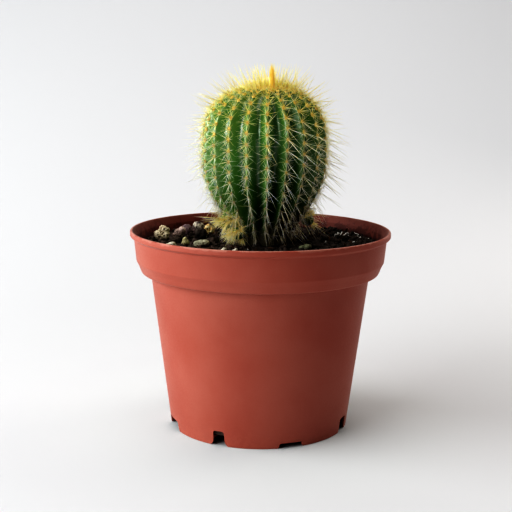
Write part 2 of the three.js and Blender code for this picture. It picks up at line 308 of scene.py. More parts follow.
def spikes(roots: Array, ways: Array, sags: Array, lengths: Array, radii: Array,
           sides: int, rings: int, marks: dict[str, Array]) -> Shape:
    """Grow tapered needles, each closed at its root and pointed at its tip.

    The middle line is root + length * (way * t + sag * t squared), and the thickness is the radius
    times (1 - t) to the power 0.6, with `sides` points on each ring round the middle line.

    Args:
        roots: Where the needles start, shape (n, 3).
        ways: Unit directions at the root, shape (n, 3).
        sags: Sideways bends of the middle line, as shares of the length, shape (n, 3).
        lengths: Length of each needle.
        radii: Thickness of each needle at its root.
        sides: Points on each ring.
        rings: Rings along each needle, without the tip.
        marks: A value per needle for each named mark.

    Returns:
        One shape with every needle; it adds the mark `along`, 0 at the root and 1 at the tip.
    """
    count = len(roots)
    t = np.linspace(0, 1, rings + 1)
    run = ways[:, None] * t[None, :, None] + sags[:, None] * (t * t)[None, :, None]
    middle = roots[:, None] + lengths[:, None, None] * run
    helper = np.where(np.abs(ways[:, 2:3]) > 0.8, [[1.0, 0.0, 0.0]], [[0.0, 0.0, 1.0]])
    across = unit(np.cross(ways, helper))
    beside = np.cross(ways, across)
    angle = TURN * np.arange(sides) / sides
    circle = across[:, None] * np.cos(angle)[None, :, None] + beside[:, None] * np.sin(angle)[None, :, None]
    girth = radii[:, None] * (1 - t[None, :-1]) ** 0.6
    body = middle[:, :-1, None] + girth[:, :, None, None] * circle[:, None]
    corners = np.concatenate([body.reshape(count, rings * sides, 3), middle[:, -1:]], axis=1)
    each = rings * sides + 1
    start = np.arange(count)[:, None, None] * each
    ring = np.arange(rings - 1)[None, :, None] * sides
    j = np.arange(sides)[None, None, :]
    k = (j + 1) % sides
    low_ring, high_ring = start + ring, start + ring + sides
    walls = np.stack([low_ring + j, low_ring + k, high_ring + k, high_ring + j], axis=-1)
    last = start + (rings - 1) * sides
    tips = np.stack([last + j, last + k, np.broadcast_to(start + each - 1, (count, 1, sides))], axis=-1)
    caps = np.arange(count)[:, None] * each + np.arange(sides)[None, ::-1]
    faces = [walls.reshape(-1, 4), tips.reshape(-1, 3), caps]
    along = np.concatenate([np.repeat(t[:-1], sides), [1.0]])
    spread = {name: np.repeat(values, each) for name, values in marks.items()}
    spread["along"] = np.tile(along, count)
    return Shape(corners.reshape(-1, 3), [face for face in faces if len(face)], spread).facing_out()


def ball(level: int) -> tuple[Array, Array]:
    """Make a round ball of radius 1 from a 20-sided one.

    Args:
        level: How many times its triangles are split.

    Returns:
        Its corners and its triangles.
    """
    mesh = bmesh.new()
    bmesh.ops.create_icosphere(mesh, subdivisions=level, radius=1.0)
    corners = np.array([corner.co[:] for corner in mesh.verts])
    faces = np.array([[corner.index for corner in face.verts] for face in mesh.faces])
    mesh.free()
    return corners, faces


def random_turns(count: int, rng: np.random.Generator) -> Array:
    """Rotation matrices spread evenly over all turns, from random unit quaternions.

    Args:
        count: How many turns.
        rng: Random source.

    Returns:
        The matrices, shape (count, 3, 3).
    """
    w, x, y, z = unit(rng.normal(size=(count, 4))).T
    rows = [
        [1 - 2 * (y * y + z * z), 2 * (x * y - z * w), 2 * (x * z + y * w)],
        [2 * (x * y + z * w), 1 - 2 * (x * x + z * z), 2 * (y * z - x * w)],
        [2 * (x * z - y * w), 2 * (y * z + x * w), 1 - 2 * (x * x + y * y)],
    ]
    return np.array(rows).transpose(2, 0, 1)


def golden_spiral(count: int) -> tuple[Array, Array]:
    """Spread places evenly over a disc: the root of the share outwards, a golden angle round.

    Args:
        count: How many places.

    Returns:
        Each place's distance from the middle, 0 to 1, and its angle.
    """
    number = np.arange(count)
    return np.sqrt((number + 0.5) / count), number * GOLDEN_ANGLE


def copies(corners: Array, faces: Array, marks: dict[str, Array]) -> Shape:
    """Make one shape of many lumps that share one set of triangles.

    Args:
        corners: Corners of each lump, shape (lumps, corners per lump, 3).
        faces: The triangles of one lump.
        marks: A value per lump for each named mark.

    Returns:
        One shape with every lump.
    """
    count, each = corners.shape[:2]
    starts = np.arange(count)[:, None, None] * each
    spread = {name: np.repeat(values, each) for name, values in marks.items()}
    return Shape(corners.reshape(-1, 3), [(faces[None] + starts).reshape(-1, 3)], spread).facing_out()


def crumbs(places: Array, sizes: Array, level: int, lumps: float, rng: np.random.Generator,
           marks: dict[str, Array]) -> Shape:
    """Scatter lumpy grains: one ball each, swollen and dented by noise, sized and turned at random.

    Args:
        places: Middle of each grain, shape (n, 3).
        sizes: Half sizes of each grain along its own axes, shape (n, 3).
        level: How finely each ball is split.
        lumps: Strength of the swelling, as a share of the radius.
        rng: Random source.
        marks: A value per grain for each named mark.

    Returns:
        One shape with every grain.
    """
    base, faces = ball(level)
    shifts = rng.uniform(-50, 50, size=(len(places), 1, 3))
    swell = 1 + lumps * rough_noise(base[None] + shifts, 0.9, 5, layers=2)
    local = base[None] * swell[..., None] * sizes[:, None]
    turns = random_turns(len(places), rng)
    return copies(places[:, None] + np.einsum("nij,nkj->nki", turns, local), faces, marks)


def make_object(name: str, shape: Shape, material: bpy.types.Material,
                crease: float | None = None) -> bpy.types.Object:
    """Turn a shape into a smooth-shaded object at the origin, with its marks as attributes.

    Args:
        name: The piece's name.
        shape: Its corners, faces and marks.
        material: Its finish.
        crease: Edges sharper than this angle, in degrees, stay sharp; None keeps all smooth.

    Returns:
        The new object, linked to the scene.
    """
    mesh = bpy.data.meshes.new(name)
    faces = [row for face in shape.faces for row in face.tolist()]
    mesh.from_pydata(shape.corners, [], faces)
    for mark, values in shape.marks.items():
        layer = mesh.attributes.new(mark, "FLOAT", "POINT")
        layer.data.foreach_set("value", np.asarray(values, dtype=np.float32))
    mesh.polygons.foreach_set("use_smooth", np.ones(len(mesh.polygons), dtype=bool))
    if crease is not None:
        mesh.set_sharp_from_angle(angle=math.radians(crease))
    mesh.materials.append(material)
    mesh.update()
    piece = bpy.data.objects.new(name, mesh)
    bpy.context.scene.collection.objects.link(piece)
    return piece


def settle(piece: bpy.types.Object, slot: str, *nodes: str) -> None:
    """Let a piece ride on the body, hide the frame's nodes that it stands for, and log its face count.

    Args:
        piece: The finished piece.
        slot: Not used.
        nodes: The frame's nodes that it replaces.
    """
    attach(piece, BODY)
    if nodes:
        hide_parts(*nodes)
    log.info("%s: %d faces", piece.name, len(piece.data.polygons))


class Graph:
    """A node tree with short calls to add, set and link its nodes."""

    def __init__(self, tree: bpy.types.NodeTree) -> None:
        """Keep the tree."""
        self.tree = tree

    def add(self, kind: str, inputs: dict | None = None, **settings: object) -> bpy.types.Node:
        """Add a node.

        Args:
            kind: The node's class name, without ShaderNode for shader nodes.
            inputs: Values or output sockets for the node's inputs, by name or number.
            settings: Properties of the node itself.

        Returns:
            The new node.
        """
        full = kind if kind.startswith("NodeGroup") else "ShaderNode" + kind
        node = self.tree.nodes.new(full)
        for key, value in settings.items():
            setattr(node, key, value)
        self.fill(node, inputs or {})
        return node

    def fill(self, node: bpy.types.Node, inputs: dict) -> None:
        """Set or link a node's inputs.

        Args:
            node: The node.
            inputs: Values or output sockets, by the input's name or number.
        """
        for key, value in inputs.items():
            if isinstance(value, bpy.types.NodeSocket):
                self.tree.links.new(value, node.inputs[key])
            else:
                node.inputs[key].default_value = value

    def value(self, operation: str, *terms: object) -> bpy.types.NodeSocket:
        """Work out a number from one, two or three others, without a clamp."""
        return self.add("Math", dict(enumerate(terms)), operation=operation).outputs[0]

    def span(self, value: object, low: float, high: float, to_low: float,
             to_high: float) -> bpy.types.NodeSocket:
        """Map a value from low..high to to_low..to_high, held within them, with smooth ends."""
        settings = {"Value": value, 1: low, 2: high, 3: to_low, 4: to_high}
        return self.add("MapRange", settings, interpolation_type="SMOOTHSTEP").outputs[0]

    def mix(self, share: object, first: object, second: object) -> bpy.types.NodeSocket:
        """Mix two colours by a share."""
        return self.add("Mix", {0: share, 6: rgba(first), 7: rgba(second)}, data_type="RGBA").outputs[2]

    def noise(self, place: object, scale: object, detail: float) -> bpy.types.NodeSocket:
        """Read a noise of a scale and a number of layers at a place."""
        return self.add("TexNoise", {"Vector": place, "Scale": scale, "Detail": detail}).outputs[0]

    def ramp(self, share: bpy.types.NodeSocket, stops: list[tuple[float, Colour]]) -> bpy.types.NodeSocket:
        """Run through several colours, each at its place between 0 and 1.

        Args:
            share: Where along the ramp to read.
            stops: Place and colour of each stop, from 0 up.

        Returns:
            The colour read.
        """
        node = self.add("ValToRGB", {0: share})
        elements = node.color_ramp.elements
        while len(elements) < len(stops):
            elements.new(0.5)
        for element, (place, colour) in zip(elements, stops):
            element.position = place
            element.color = rgba(colour)
        return node.outputs[0]

    def mark(self, name: str) -> bpy.types.NodeSocket:
        """Read one of the mesh's marks."""
        return self.add("Attribute", attribute_name=name, attribute_type="GEOMETRY").outputs["Fac"]

    def place(self) -> bpy.types.NodeSocket:
        """Read where the surface is, in the piece's own metres."""
        return self.add("TexCoord").outputs["Object"]

    def grain(self, fine: float, broad: float) -> tuple[bpy.types.NodeSocket, bpy.types.NodeSocket]:
        """Place the shared grain effect.

        Args:
            fine: Scale of its fine noise.
            broad: Scale of its broad noise.

        Returns:
            Its height and its patchy tone.
        """
        values = {"Vector": self.place(), "Fine": fine, "Broad": broad}
        return tuple(self.add("Group", values, node_tree=GRAIN).outputs)

    def dust(self, place: bpy.types.NodeSocket, band: "PatchyBand") -> bpy.types.NodeSocket:
        """Place the shared patchy band, which marks scuffs, darkening low down, painted shade and a painted
        highlight.

        Args:
            place: Where the surface is; the band lies low on its Z.
            band: Where the band lies, and how thick.

        Returns:
            How much the band covers the surface, up to the band's strength.
        """
        values = {"Vector": place, "Low": band.low, "High": band.high, "Scale": band.scale,
                  "Patches": band.patches}
        mask = self.add("Group", values, node_tree=MASK_GROUP).outputs["Mask"]
        return self.value("MULTIPLY", mask, band.strength)


def rgba(colour: object) -> object:
    """Give a plain colour its alpha, and pass a socket on as it is."""
    return colour if isinstance(colour, bpy.types.NodeSocket) else (*colour, 1.0)


@dataclass(frozen=True)
class PatchyBand:
    """A patchy band that is full below `low` and gone above `high`: its noise, how broken up, how strong."""

    low: float
    high: float
    scale: float
    patches: float
    strength: float


def effect_group(name: str, inputs: dict[str, float], outputs: list[str]) -> tuple[Graph, dict, object]:
    """Start a shader group that takes a place and some numbers.

    Args:
        name: The group's name.
        inputs: Its number inputs with their usual values; a Vector input comes first.
        outputs: Its number outputs.

    Returns:
        Its graph, its inputs by name and its output node.
    """
    tree = bpy.data.node_groups.new(name, "ShaderNodeTree")
    tree.interface.new_socket("Vector", in_out="INPUT", socket_type="NodeSocketVector")
    for label, usual in inputs.items():
        socket = tree.interface.new_socket(label, in_out="INPUT", socket_type="NodeSocketFloat")
        socket.default_value = usual
    for label in outputs:
        tree.interface.new_socket(label, in_out="OUTPUT", socket_type="NodeSocketFloat")
    graph = Graph(tree)
    given = graph.add("NodeGroupInput")
    named = {label: given.outputs[label] for label in ("Vector", *inputs)}
    return graph, named, graph.add("NodeGroupOutput")


def build_grain() -> bpy.types.NodeTree:
    """Group: a fine grain height and a broad patchy tone, each from noise of a named scale.

    Returns:
        The group's tree.
    """
    graph, given, result = effect_group("surface_grain", {"Fine": 900.0, "Broad": 40.0}, ["Height", "Tone"])
    fine = graph.noise(given["Vector"], given["Fine"], 4.0)
    broad = graph.noise(given["Vector"], given["Broad"], 5.0)
    graph.fill(result, {"Height": fine, "Tone": graph.span(broad, 0.3, 0.7, 0.0, 1.0)})
    return graph.tree


def build_band_group() -> bpy.types.NodeTree:
    """Group: a patchy mask that is full below Low, gone above High, and broken up by noise.

    Returns:
        The group's tree.
    """
    usual = {"Low": 0.0, "High": 0.01, "Scale": 300.0, "Patches": 0.5}
    graph, given, result = effect_group("patchy_band", usual, ["Mask"])
    height = graph.add("SeparateXYZ", {0: given["Vector"]}).outputs["Z"]
    spots = graph.value("SUBTRACT", graph.noise(given["Vector"], given["Scale"], 6.0), 0.5)
    fall = graph.add("MapRange", {"Value": height, 1: given["Low"], 2: given["High"], 3: 1.0, 4: 0.0})
    reach = graph.value("MULTIPLY", given["Patches"], 6.0)
    broken = graph.value("MULTIPLY_ADD", spots, reach, fall.outputs[0])
    graded = graph.value("MULTIPLY", graph.span(broken, 0.45, 0.75, 0.0, 1.0), fall.outputs[0])
    graph.fill(result, {"Mask": graded})
    return graph.tree


GRAIN = build_grain()
MASK_GROUP = build_band_group()


@dataclass(frozen=True)
class Finish:
    """What every finish shares: a name, a roughness and how deep its grain is."""

    name: str
    roughness: float = 0.6
    bump: float = 0.1 * MM

    def start(self) -> tuple[bpy.types.Material, Graph, bpy.types.Node]:
        """Make the empty material.

        Returns:
            The material, its graph and its shader.
        """
        material = bpy.data.materials.new(self.name)
        material.use_nodes = True
        graph = Graph(material.node_tree)
        shader = material.node_tree.nodes["Principled BSDF"]
        shader.inputs["Roughness"].default_value = self.roughness
        return material, graph, shader

    def relief(self, graph: Graph, height: bpy.types.NodeSocket) -> bpy.types.NodeSocket:
        """Turn a height into a normal for the shader."""
        return graph.add("Bump", {"Height": height, "Distance": self.bump, "Strength": 1.0}).outputs[0]


@dataclass(frozen=True)
class PlasticFinish(Finish):
    """Moulded terracotta-coloured plastic, with painted shade over the whole inside that is darker still just
    above the soil, a scuffed foot, and a pale painted highlight along the lip's top edge.

    The light that it throws on other things is paler and greyer than the plastic itself.
    """

    name: str = "pot_plastic"
    roughness: float = 0.54
    bump: float = 0.05 * MM
    deep: Colour = (0.44, 0.127, 0.089)
    pale: Colour = (0.48, 0.164, 0.121)
    shade_and_low_darkening: Colour = (0.064, 0.012, 0.010)
    thrown: Colour = (0.38, 0.29, 0.27)
    scuff: Colour = (0.52, 0.17, 0.12)
    highlight_colour: Colour = (0.68, 0.42, 0.35)
    foot_scuffs: PatchyBand = PatchyBand(-2 * MM, 13 * MM, 420.0, 0.75, 0.35)
    lip_highlight_band: PatchyBand = PatchyBand(-91.8 * MM, -90.2 * MM, 180.0, 0.7, 0.45)
    inner_low_darkening: PatchyBand = PatchyBand(84 * MM, 92 * MM, 260.0, 0.8, 0.40)
    inner_painted_shade: float = 0.50

    def build(self) -> bpy.types.Material:
        """Make the material, with the lip's painted highlight on a place turned upside down, because it lies
        high.

        Returns:
            The material.
        """
        material, graph, shader = self.start()
        place = graph.place()
        height, tone = graph.grain(1400.0, 28.0)
        body = graph.mix(tone, self.deep, self.pale)
        body = graph.mix(graph.dust(place, self.foot_scuffs), body, self.scuff)
        flipped = graph.add("VectorMath", {0: place, 1: (1, 1, -1)}, operation="MULTIPLY").outputs[0]
        # Pale painted highlight along the lip's top edge.
        body = graph.mix(graph.dust(flipped, self.lip_highlight_band), body, self.highlight_colour)
        inside = graph.mark("inside")
        # Painted shade over the whole inside, darker still just above the soil; it also makes the surface
        # rougher there.
        shade_and_darkening_share = graph.value("ADD", graph.dust(place, self.inner_low_darkening), self.inner_painted_shade)
        shade_and_darkening_share = graph.value("MULTIPLY", shade_and_darkening_share, inside)
        body = graph.mix(shade_and_darkening_share, body, self.shade_and_low_darkening)
        outside = graph.value("SUBTRACT", graph.add("LightPath").outputs["Is Diffuse Ray"], inside)
        body = graph.mix(graph.value("MAXIMUM", outside, 0.0), body, self.thrown)
        rough = graph.span(height, 0.3, 0.7, self.roughness - 0.05, self.roughness + 0.07)
        rough = graph.value("ADD", rough, graph.value("MULTIPLY", shade_and_darkening_share, 0.1))
        graph.fill(shader, {"Base Color": body, "Roughness": rough, "Sheen Weight": 0.15,
                            "Sheen Roughness": 0.35, "Normal": self.relief(graph, height)})
        return material


@dataclass(frozen=True)
class SoilFinish(Finish):
    """Dark crumbly soil whose crumbs differ in tone."""

    name: str = "soil"
    roughness: float = 0.95
    bump: float = 0.35 * MM
    dark_tone: Colour = (0.031, 0.027, 0.022)
    pale_tone: Colour = (0.20, 0.145, 0.125)
    patchiness: float = 0.45
    own_tone: float = 0.55

    def build(self) -> bpy.types.Material:
        """Make the material; each crumb's own tone comes from its mark.

        Returns:
            The material.
        """
        material, graph, shader = self.start()
        height, tone = graph.grain(2600.0, 330.0)
        own = graph.value("MULTIPLY", graph.mark("tone"), self.own_tone)
        tone = graph.value("MULTIPLY_ADD", tone, self.patchiness, own)
        graph.fill(shader, {"Base Color": graph.mix(tone, self.dark_tone, self.pale_tone),
                            "Normal": self.relief(graph, height)})
        return material


@dataclass(frozen=True, kw_only=True)
class StoneFinish(Finish):
    """Rough stone: a base colour with patches of a second, painted shade in its pits, and darker towards the
    bottom.
    """

    roughness: float = 0.85
    bump: float = 0.22 * MM
    base: Colour
    patch: Colour
    shade_and_low_darkening: Colour = (0.104, 0.085, 0.071)
    darker_low_down: PatchyBand = PatchyBand(84 * MM, 87 * MM, 700.0, 0.55, 0.6)

    def build(self) -> bpy.types.Material:
        """Make the material.

        Returns:
            The material.
        """
        material, graph, shader = self.start()
        height, tone = graph.grain(2200.0, 520.0)
        body = graph.mix(tone, self.base, self.patch)
        # Painted shade in the pits, and darker towards the bottom.
        shade_and_darkening_share = graph.value("MAXIMUM", graph.dust(graph.place(), self.darker_low_down), graph.mark("pit"))
        graph.fill(shader, {"Base Color": graph.mix(shade_and_darkening_share, body, self.shade_and_low_darkening),
                            "Normal": self.relief(graph, height)})
        return material


@dataclass(frozen=True)
class FleshFinish(Finish):
    """Waxy green skin: paler on crests, with painted shade deepening into the valleys and low down, brown at
    the foot, and painted shade over the right side.
    """

    name: str = "cactus_flesh"
    roughness: float = 0.32
    bump: float = 0.06 * MM
    valley: Colour = (0.072, 0.168, 0.046)
    deep: Colour = (0.118, 0.274, 0.068)
    flank: Colour = (0.190, 0.385, 0.100)
    crest: Colour = (0.320, 0.472, 0.180)
    fresh: Colour = (0.140, 0.235, 0.048)
    shade: Colour = (0.039, 0.095, 0.031)
    cork: Colour = (0.128, 0.105, 0.075)
    patchiness: float = 0.22
    side_shade_strength: float = 0.42
    shaded_side_coat: float = 0.35

    def tint(self, graph: Graph, tone: bpy.types.NodeSocket) -> bpy.types.NodeSocket:
        """Colour the skin by how far across its rib and how high up it lies, with painted shade in the
        valleys, low down and over the right side.

        Args:
            graph: The material's graph.
            tone: The patchy tone.

        Returns:
            The colour.
        """
        across, rise, side_shade = (graph.mark(name) for name in ("across", "rise", "side_shade"))
        # Crests are paler in their own colour; the darkening down into the valley is painted shade.
        stops = [(0.0, self.crest), (0.28, self.flank), (0.62, self.deep), (1.0, self.valley)]
        body = graph.ramp(across, stops)
        body = graph.mix(graph.value("MULTIPLY", tone, self.patchiness), body, self.valley)
        # More painted shade in the valleys low on the stem, and more on the shaded side.
        valleys = graph.span(across, 0.0, 1.0, 0.30, 1.0)
        shaded = graph.value("MULTIPLY", graph.span(rise, 0.10, 0.60, 0.85, 0.0),
                             graph.span(side_shade, 0.0, 0.4, 0.45, 1.0))
        body = graph.mix(graph.value("MULTIPLY", shaded, valleys), body, self.shade)
        body = graph.mix(graph.span(rise, 0.86, 1.0, 0.0, 0.55), body, self.fresh)
        # Painted shade over the right side.
        body = graph.mix(graph.value("MULTIPLY", side_shade, self.side_shade_strength), body, self.shade)
        return graph.mix(graph.span(rise, 0.0, 0.13, 0.9, 0.0), body, self.cork)

    def build(self) -> bpy.types.Material:
        """Make the material.

        Returns:
            The material.
        """
        material, graph, shader = self.start()
        height, tone = graph.grain(2600.0, 150.0)
        graph.fill(shader, {
            "Base Color": self.tint(graph, tone),
            "Roughness": graph.span(tone, 0.0, 1.0, self.roughness - 0.06, self.roughness + 0.12),
            # Less coat where the side shade is painted.
            "Coat Weight": graph.span(graph.mark("side_shade"), 0.0, 1.0, 1.0, self.shaded_side_coat),
            "Coat Roughness": 0.18,
            "Coat IOR": 1.7,
            "Subsurface Weight": 0.08,
            "Subsurface Radius": (0.6 * MM, 1.0 * MM, 0.3 * MM),
            "Normal": self.relief(graph, height),
        })
        return material


@dataclass(frozen=True)
class SpineFinish(Finish):
    """Horny spines and wool: pale straw when old, golden when young, browner at the root, dulled toward the
    dust colour by dust and by painted shade, and with a faint painted glow.
    """

    name: str = "cactus_spines"
    roughness: float = 0.4
    bump: float = 0.02 * MM
    old: Colour = (0.950, 0.924, 0.817)
    gold: Colour = (0.950, 0.870, 0.338)
    amber: Colour = (0.950, 0.563, 0.095)
    root: Colour = (0.835, 0.563, 0.171)
    dust: Colour = (0.235, 0.200, 0.142)
    glow: float = 0.8
    painted_glow: float = 0.105
    root_stain: float = 0.7
    patchiness: float = 0.12
    dust_and_shade_strength: float = 0.8

    def build(self) -> bpy.types.Material:
        """Make the material; the marks tell how golden, warm, dusty and shaded each spine is.

        Returns:
            The material.
        """
        material, graph, shader = self.start()
        height, tone = graph.grain(3000.0, 900.0)
        gold = graph.mark("gold")
        body = graph.mix(gold, self.old, self.gold)
        body = graph.mix(graph.mark("warm"), body, self.amber)
        near_root = graph.span(graph.mark("along"), 0.0, 0.3, self.root_stain, 0.0)
        body = graph.mix(graph.value("MULTIPLY", near_root, gold), body, self.root)
        body = graph.mix(graph.value("MULTIPLY", tone, self.patchiness), body, self.root)
        body = graph.mix(graph.value("MULTIPLY", graph.mark("dusty"), self.dust_and_shade_strength), body, self.dust)
        graph.fill(shader, {
            "Base Color": body,
            # Painted glow: a faint emission that stands in for light shining through the spines and wool.
            "Emission Color": body,
            "Emission Strength": self.painted_glow,
            "Subsurface Weight": self.glow,
            "Subsurface Radius": (0.30, 0.24, 0.12),
            "Subsurface Scale": 1 * MM,
            "Normal": self.relief(graph, height),
        })
        return material


@dataclass(frozen=True)
class StageFinish(Finish):
    """Plain pale floor and backdrop, with painted light near the pot that makes the floor round its foot
    paler and cooler, lifting the shade there.
    """

    name: str = "stage"
    roughness: float = 0.9
    tone: Colour = (0.757, 0.760, 0.784)
    # Painted light near the pot's foot.
    near: Colour = (0.830, 0.846, 0.862)
    painted_light_start: float = 50 * MM
    painted_light_end: float = 125 * MM

    def build(self) -> bpy.types.Material:
        """Make the material, mixed by the distance from the middle of the pot's foot.

        Returns:
            The material.
        """
        material, graph, shader = self.start()
        away = graph.add("VectorMath", {0: graph.place()}, operation="LENGTH").outputs["Value"]
        # Painted light: paler, cooler floor close to the pot's foot.
        near = graph.span(away, self.painted_light_start, self.painted_light_end, 1.0, 0.0)
        graph.fill(shader, {"Base Color": graph.mix(near, self.tone, self.near)})
        return material


@dataclass(frozen=True)
class Notch:
    """A cut in the pot's foot: where it is, how wide at the foot and at its top, and how high."""

    angle: float
    foot: float
    top: float
    height: float


@dataclass
class Pot:
    """The nursery pot: a tapering wall, a wide stepped band, a rolled lip and a notched foot."""

    wall: float = 1.1 * MM
    height: float = 91.6 * MM
    rim: float = 60 * MM
    foot: float = 41.5 * MM
    neck: float = 50.7 * MM
    neck_height: float = 72.2 * MM
    plate: float = 3 * MM
    plate_thickness: float = 1.2 * MM
    columns: int = 240
    notch_inside: float = 7 * MM
    notch_corner: float = 1.2 * MM
    flare_rise: float = 1.6
    notches: tuple[Notch, ...] = (
        Notch(-71, 16.8 * MM, 13.0 * MM, 4.6 * MM),
        Notch(-25, 9.8 * MM, 5.4 * MM, 7.0 * MM),
        Notch(20, 12.8 * MM, 10.6 * MM, 2.3 * MM),
        Notch(66.5, 10.0 * MM, 6.5 * MM, 6.8 * MM),
    )
    drain_count: int = 6
    drain_radius: float = 4 * MM
    drain_ring: float = 22 * MM

    def wall_radius(self, height: float) -> float:
        """Outer radius of the tapering wall at a height."""
        return self.foot + (self.neck - self.foot) * height / self.neck_height

    def outline(self) -> tuple[Array, Array]:
        """Outline of the wall's section, from the plate's middle underneath, out, up, in and back.

        Returns:
            Its radii and its heights.
        """
        inset = self.wall
        ledge = self.neck_height + inset
        plate_top = self.plate + self.plate_thickness
        corners = [
            (0, self.plate, 0),
            (self.wall_radius(self.plate) - inset, self.plate, 0.3 * MM),
            (self.foot - inset, 0.0, 0.25 * MM),
            (self.foot, 0.0, 0.35 * MM),
            (self.wall_radius(0.5 * self.neck_height), 0.5 * self.neck_height, 0),
            (self.neck, self.neck_height, 0.6 * MM),
            (54.9 * MM, 72.5 * MM, 1.2 * MM),
            (56.1 * MM, 75.7 * MM, 0.8 * MM),
            (57.25 * MM, 78.0 * MM, 1.4 * MM),
            (58.25 * MM, 88.2 * MM, 0.5 * MM),
            (self.rim, self.height - 2.3 * MM, 0.5 * MM),
            (self.rim, self.height, 0.75 * MM),
            (58.75 * MM, self.height, 0.4 * MM),
            (58.3 * MM - inset, 88.2 * MM, 0.8 * MM),
            (57.3 * MM - inset, 78.0 * MM, 1.0 * MM),
            (56.0 * MM - inset, 75.6 * MM, 0.8 * MM),
            (54.6 * MM - inset, ledge, 0.6 * MM),
            (self.neck - inset, ledge, 0.5 * MM),
            (self.wall_radius(plate_top) - inset, plate_top, 0.6 * MM),
            (0, plate_top, 0),
        ]
        return rounded(corners)

    def notch_outline(self, notch: Notch) -> tuple[Array, Array]:
        """Outline of a notch, with a quarter of an oval for each flare and a quarter round at the top.

        Args:
            notch: The notch.

        Returns:
            The sideways places and the heights of the outline.
        """
        flare = 0.5 * (notch.foot - notch.top)
        corner = min(self.notch_corner, notch.height / 3)
        half = 0.5 * notch.top
        t = np.linspace(0, 0.5 * math.pi, 7)
        flare_x = half + flare * (1 - np.sin(t))
        flare_z = min(self.flare_rise * flare, notch.height - corner) * (1 - np.cos(t))
        top_x = half - corner * (1 - np.cos(t))
        top_z = notch.height - corner * (1 - np.sin(t))
        side_x = np.concatenate([[flare_x[0]], flare_x, top_x])
        side_z = np.concatenate([[-1 * MM], flare_z, top_z])
        return np.concatenate([side_x, -side_x[::-1]]), np.concatenate([side_z, side_z[::-1]])

    def notch_cutter(self, notch: Notch, turn: float) -> Shape:
        """A prism with the notch's outline that reaches through the wall.

        Args:
            notch: The notch.
            turn: How many degrees further round the pot it stands.

        Returns:
            The closed prism.
        """
        x, z = self.notch_outline(notch)
        near, far = self.foot - self.notch_inside, self.foot + self.notch_inside
        local = np.concatenate([np.stack([x, np.full_like(x, -depth), z], -1) for depth in (near, far)])
        spun = Matrix.Rotation(math.radians(notch.angle + turn), 3, "Z")
        count = len(x)
        j = np.arange(count)
        k = (j + 1) % count
        sides = np.stack([j, k, k + count, j + count], axis=-1)
        return Shape(local @ np.array(spun).T, [sides, j[None, ::-1], (j + count)[None]]).facing_out()

    def drain_cutter(self, index: int) -> Shape:
        """A short rod that leaves one round drain hole in the base plate.

        Args:
            index: Which hole, counted round the plate.

        Returns:
            The closed rod.
        """
        angle = TURN * (index + 0.5) / self.drain_count
        radii = np.array([0, 1, 1, 0]) * self.drain_radius
        heights = self.plate + np.array([3, 3, -3, -3]) * MM
        rod = turned(radii, heights, 32)
        rod.corners += ring_place(self.drain_ring, angle, 0.0)
        return rod

    def mark_inside(self, mesh: bpy.types.Mesh) -> None:
        """Mark the corners that lie nearer the axis than the middle of the wall.

        Args:
            mesh: The pot's mesh, which gets the mark `inside`.
        """
        points = np.empty(3 * len(mesh.vertices))
        mesh.vertices.foreach_get("co", points)
        points = points.reshape(-1, 3)
        heights = [0, self.neck_height, 78 * MM, 88 * MM, self.height]
        outer = [self.foot, self.neck, 57.3 * MM, 58.2 * MM, 59.6 * MM]
        middle = np.interp(points[:, 2], heights, outer) - 0.5 * self.wall
        inside = np.hypot(points[:, 0], points[:, 1]) < middle
        layer = mesh.attributes.new("inside", "FLOAT", "POINT")
        layer.data.foreach_set("value", inside.astype(np.float32))

    def build(self) -> None:
        """Turn the wall, cut the notches and drain holes, and dress it."""
        material = PlasticFinish().build()
        radii, heights = self.outline()
        piece = make_object("pot_shell", turned(radii, heights, self.columns), material)
        cutters = [self.notch_cutter(notch, turn) for notch in self.notches for turn in (0, 180)]
        cutters += [self.drain_cutter(index) for index in range(self.drain_count)]
        for cutter in cutters:
            carve(piece, cutter)
        mesh = piece.data
        self.mark_inside(mesh)
        mesh.polygons.foreach_set("use_smooth", np.ones(len(mesh.polygons), dtype=bool))
        mesh.set_sharp_from_angle(angle=math.radians(38))
        settle(piece, "pot_plastic", "pot")


def carve(piece: bpy.types.Object, cutter: Shape) -> None:
    """Cut one shape out of a piece and keep the result as the piece's own mesh.

    Args:
        piece: The piece to cut.
        cutter: A closed shape; it isn't kept.
    """
    tool = make_object("cutter", cutter, piece.data.materials[0])
    modifier = piece.modifiers.new("cut", "BOOLEAN")
    modifier.operation = "DIFFERENCE"
    modifier.solver = "EXACT"
    modifier.object = tool
    view = bpy.context.evaluated_depsgraph_get()
    result = bpy.data.meshes.new_from_object(piece.evaluated_get(view))
    piece.modifiers.clear()
    before = piece.data
    piece.data = result
    bpy.data.meshes.remove(before)
    shape = tool.data
    bpy.data.objects.remove(tool)
    bpy.data.meshes.remove(shape)


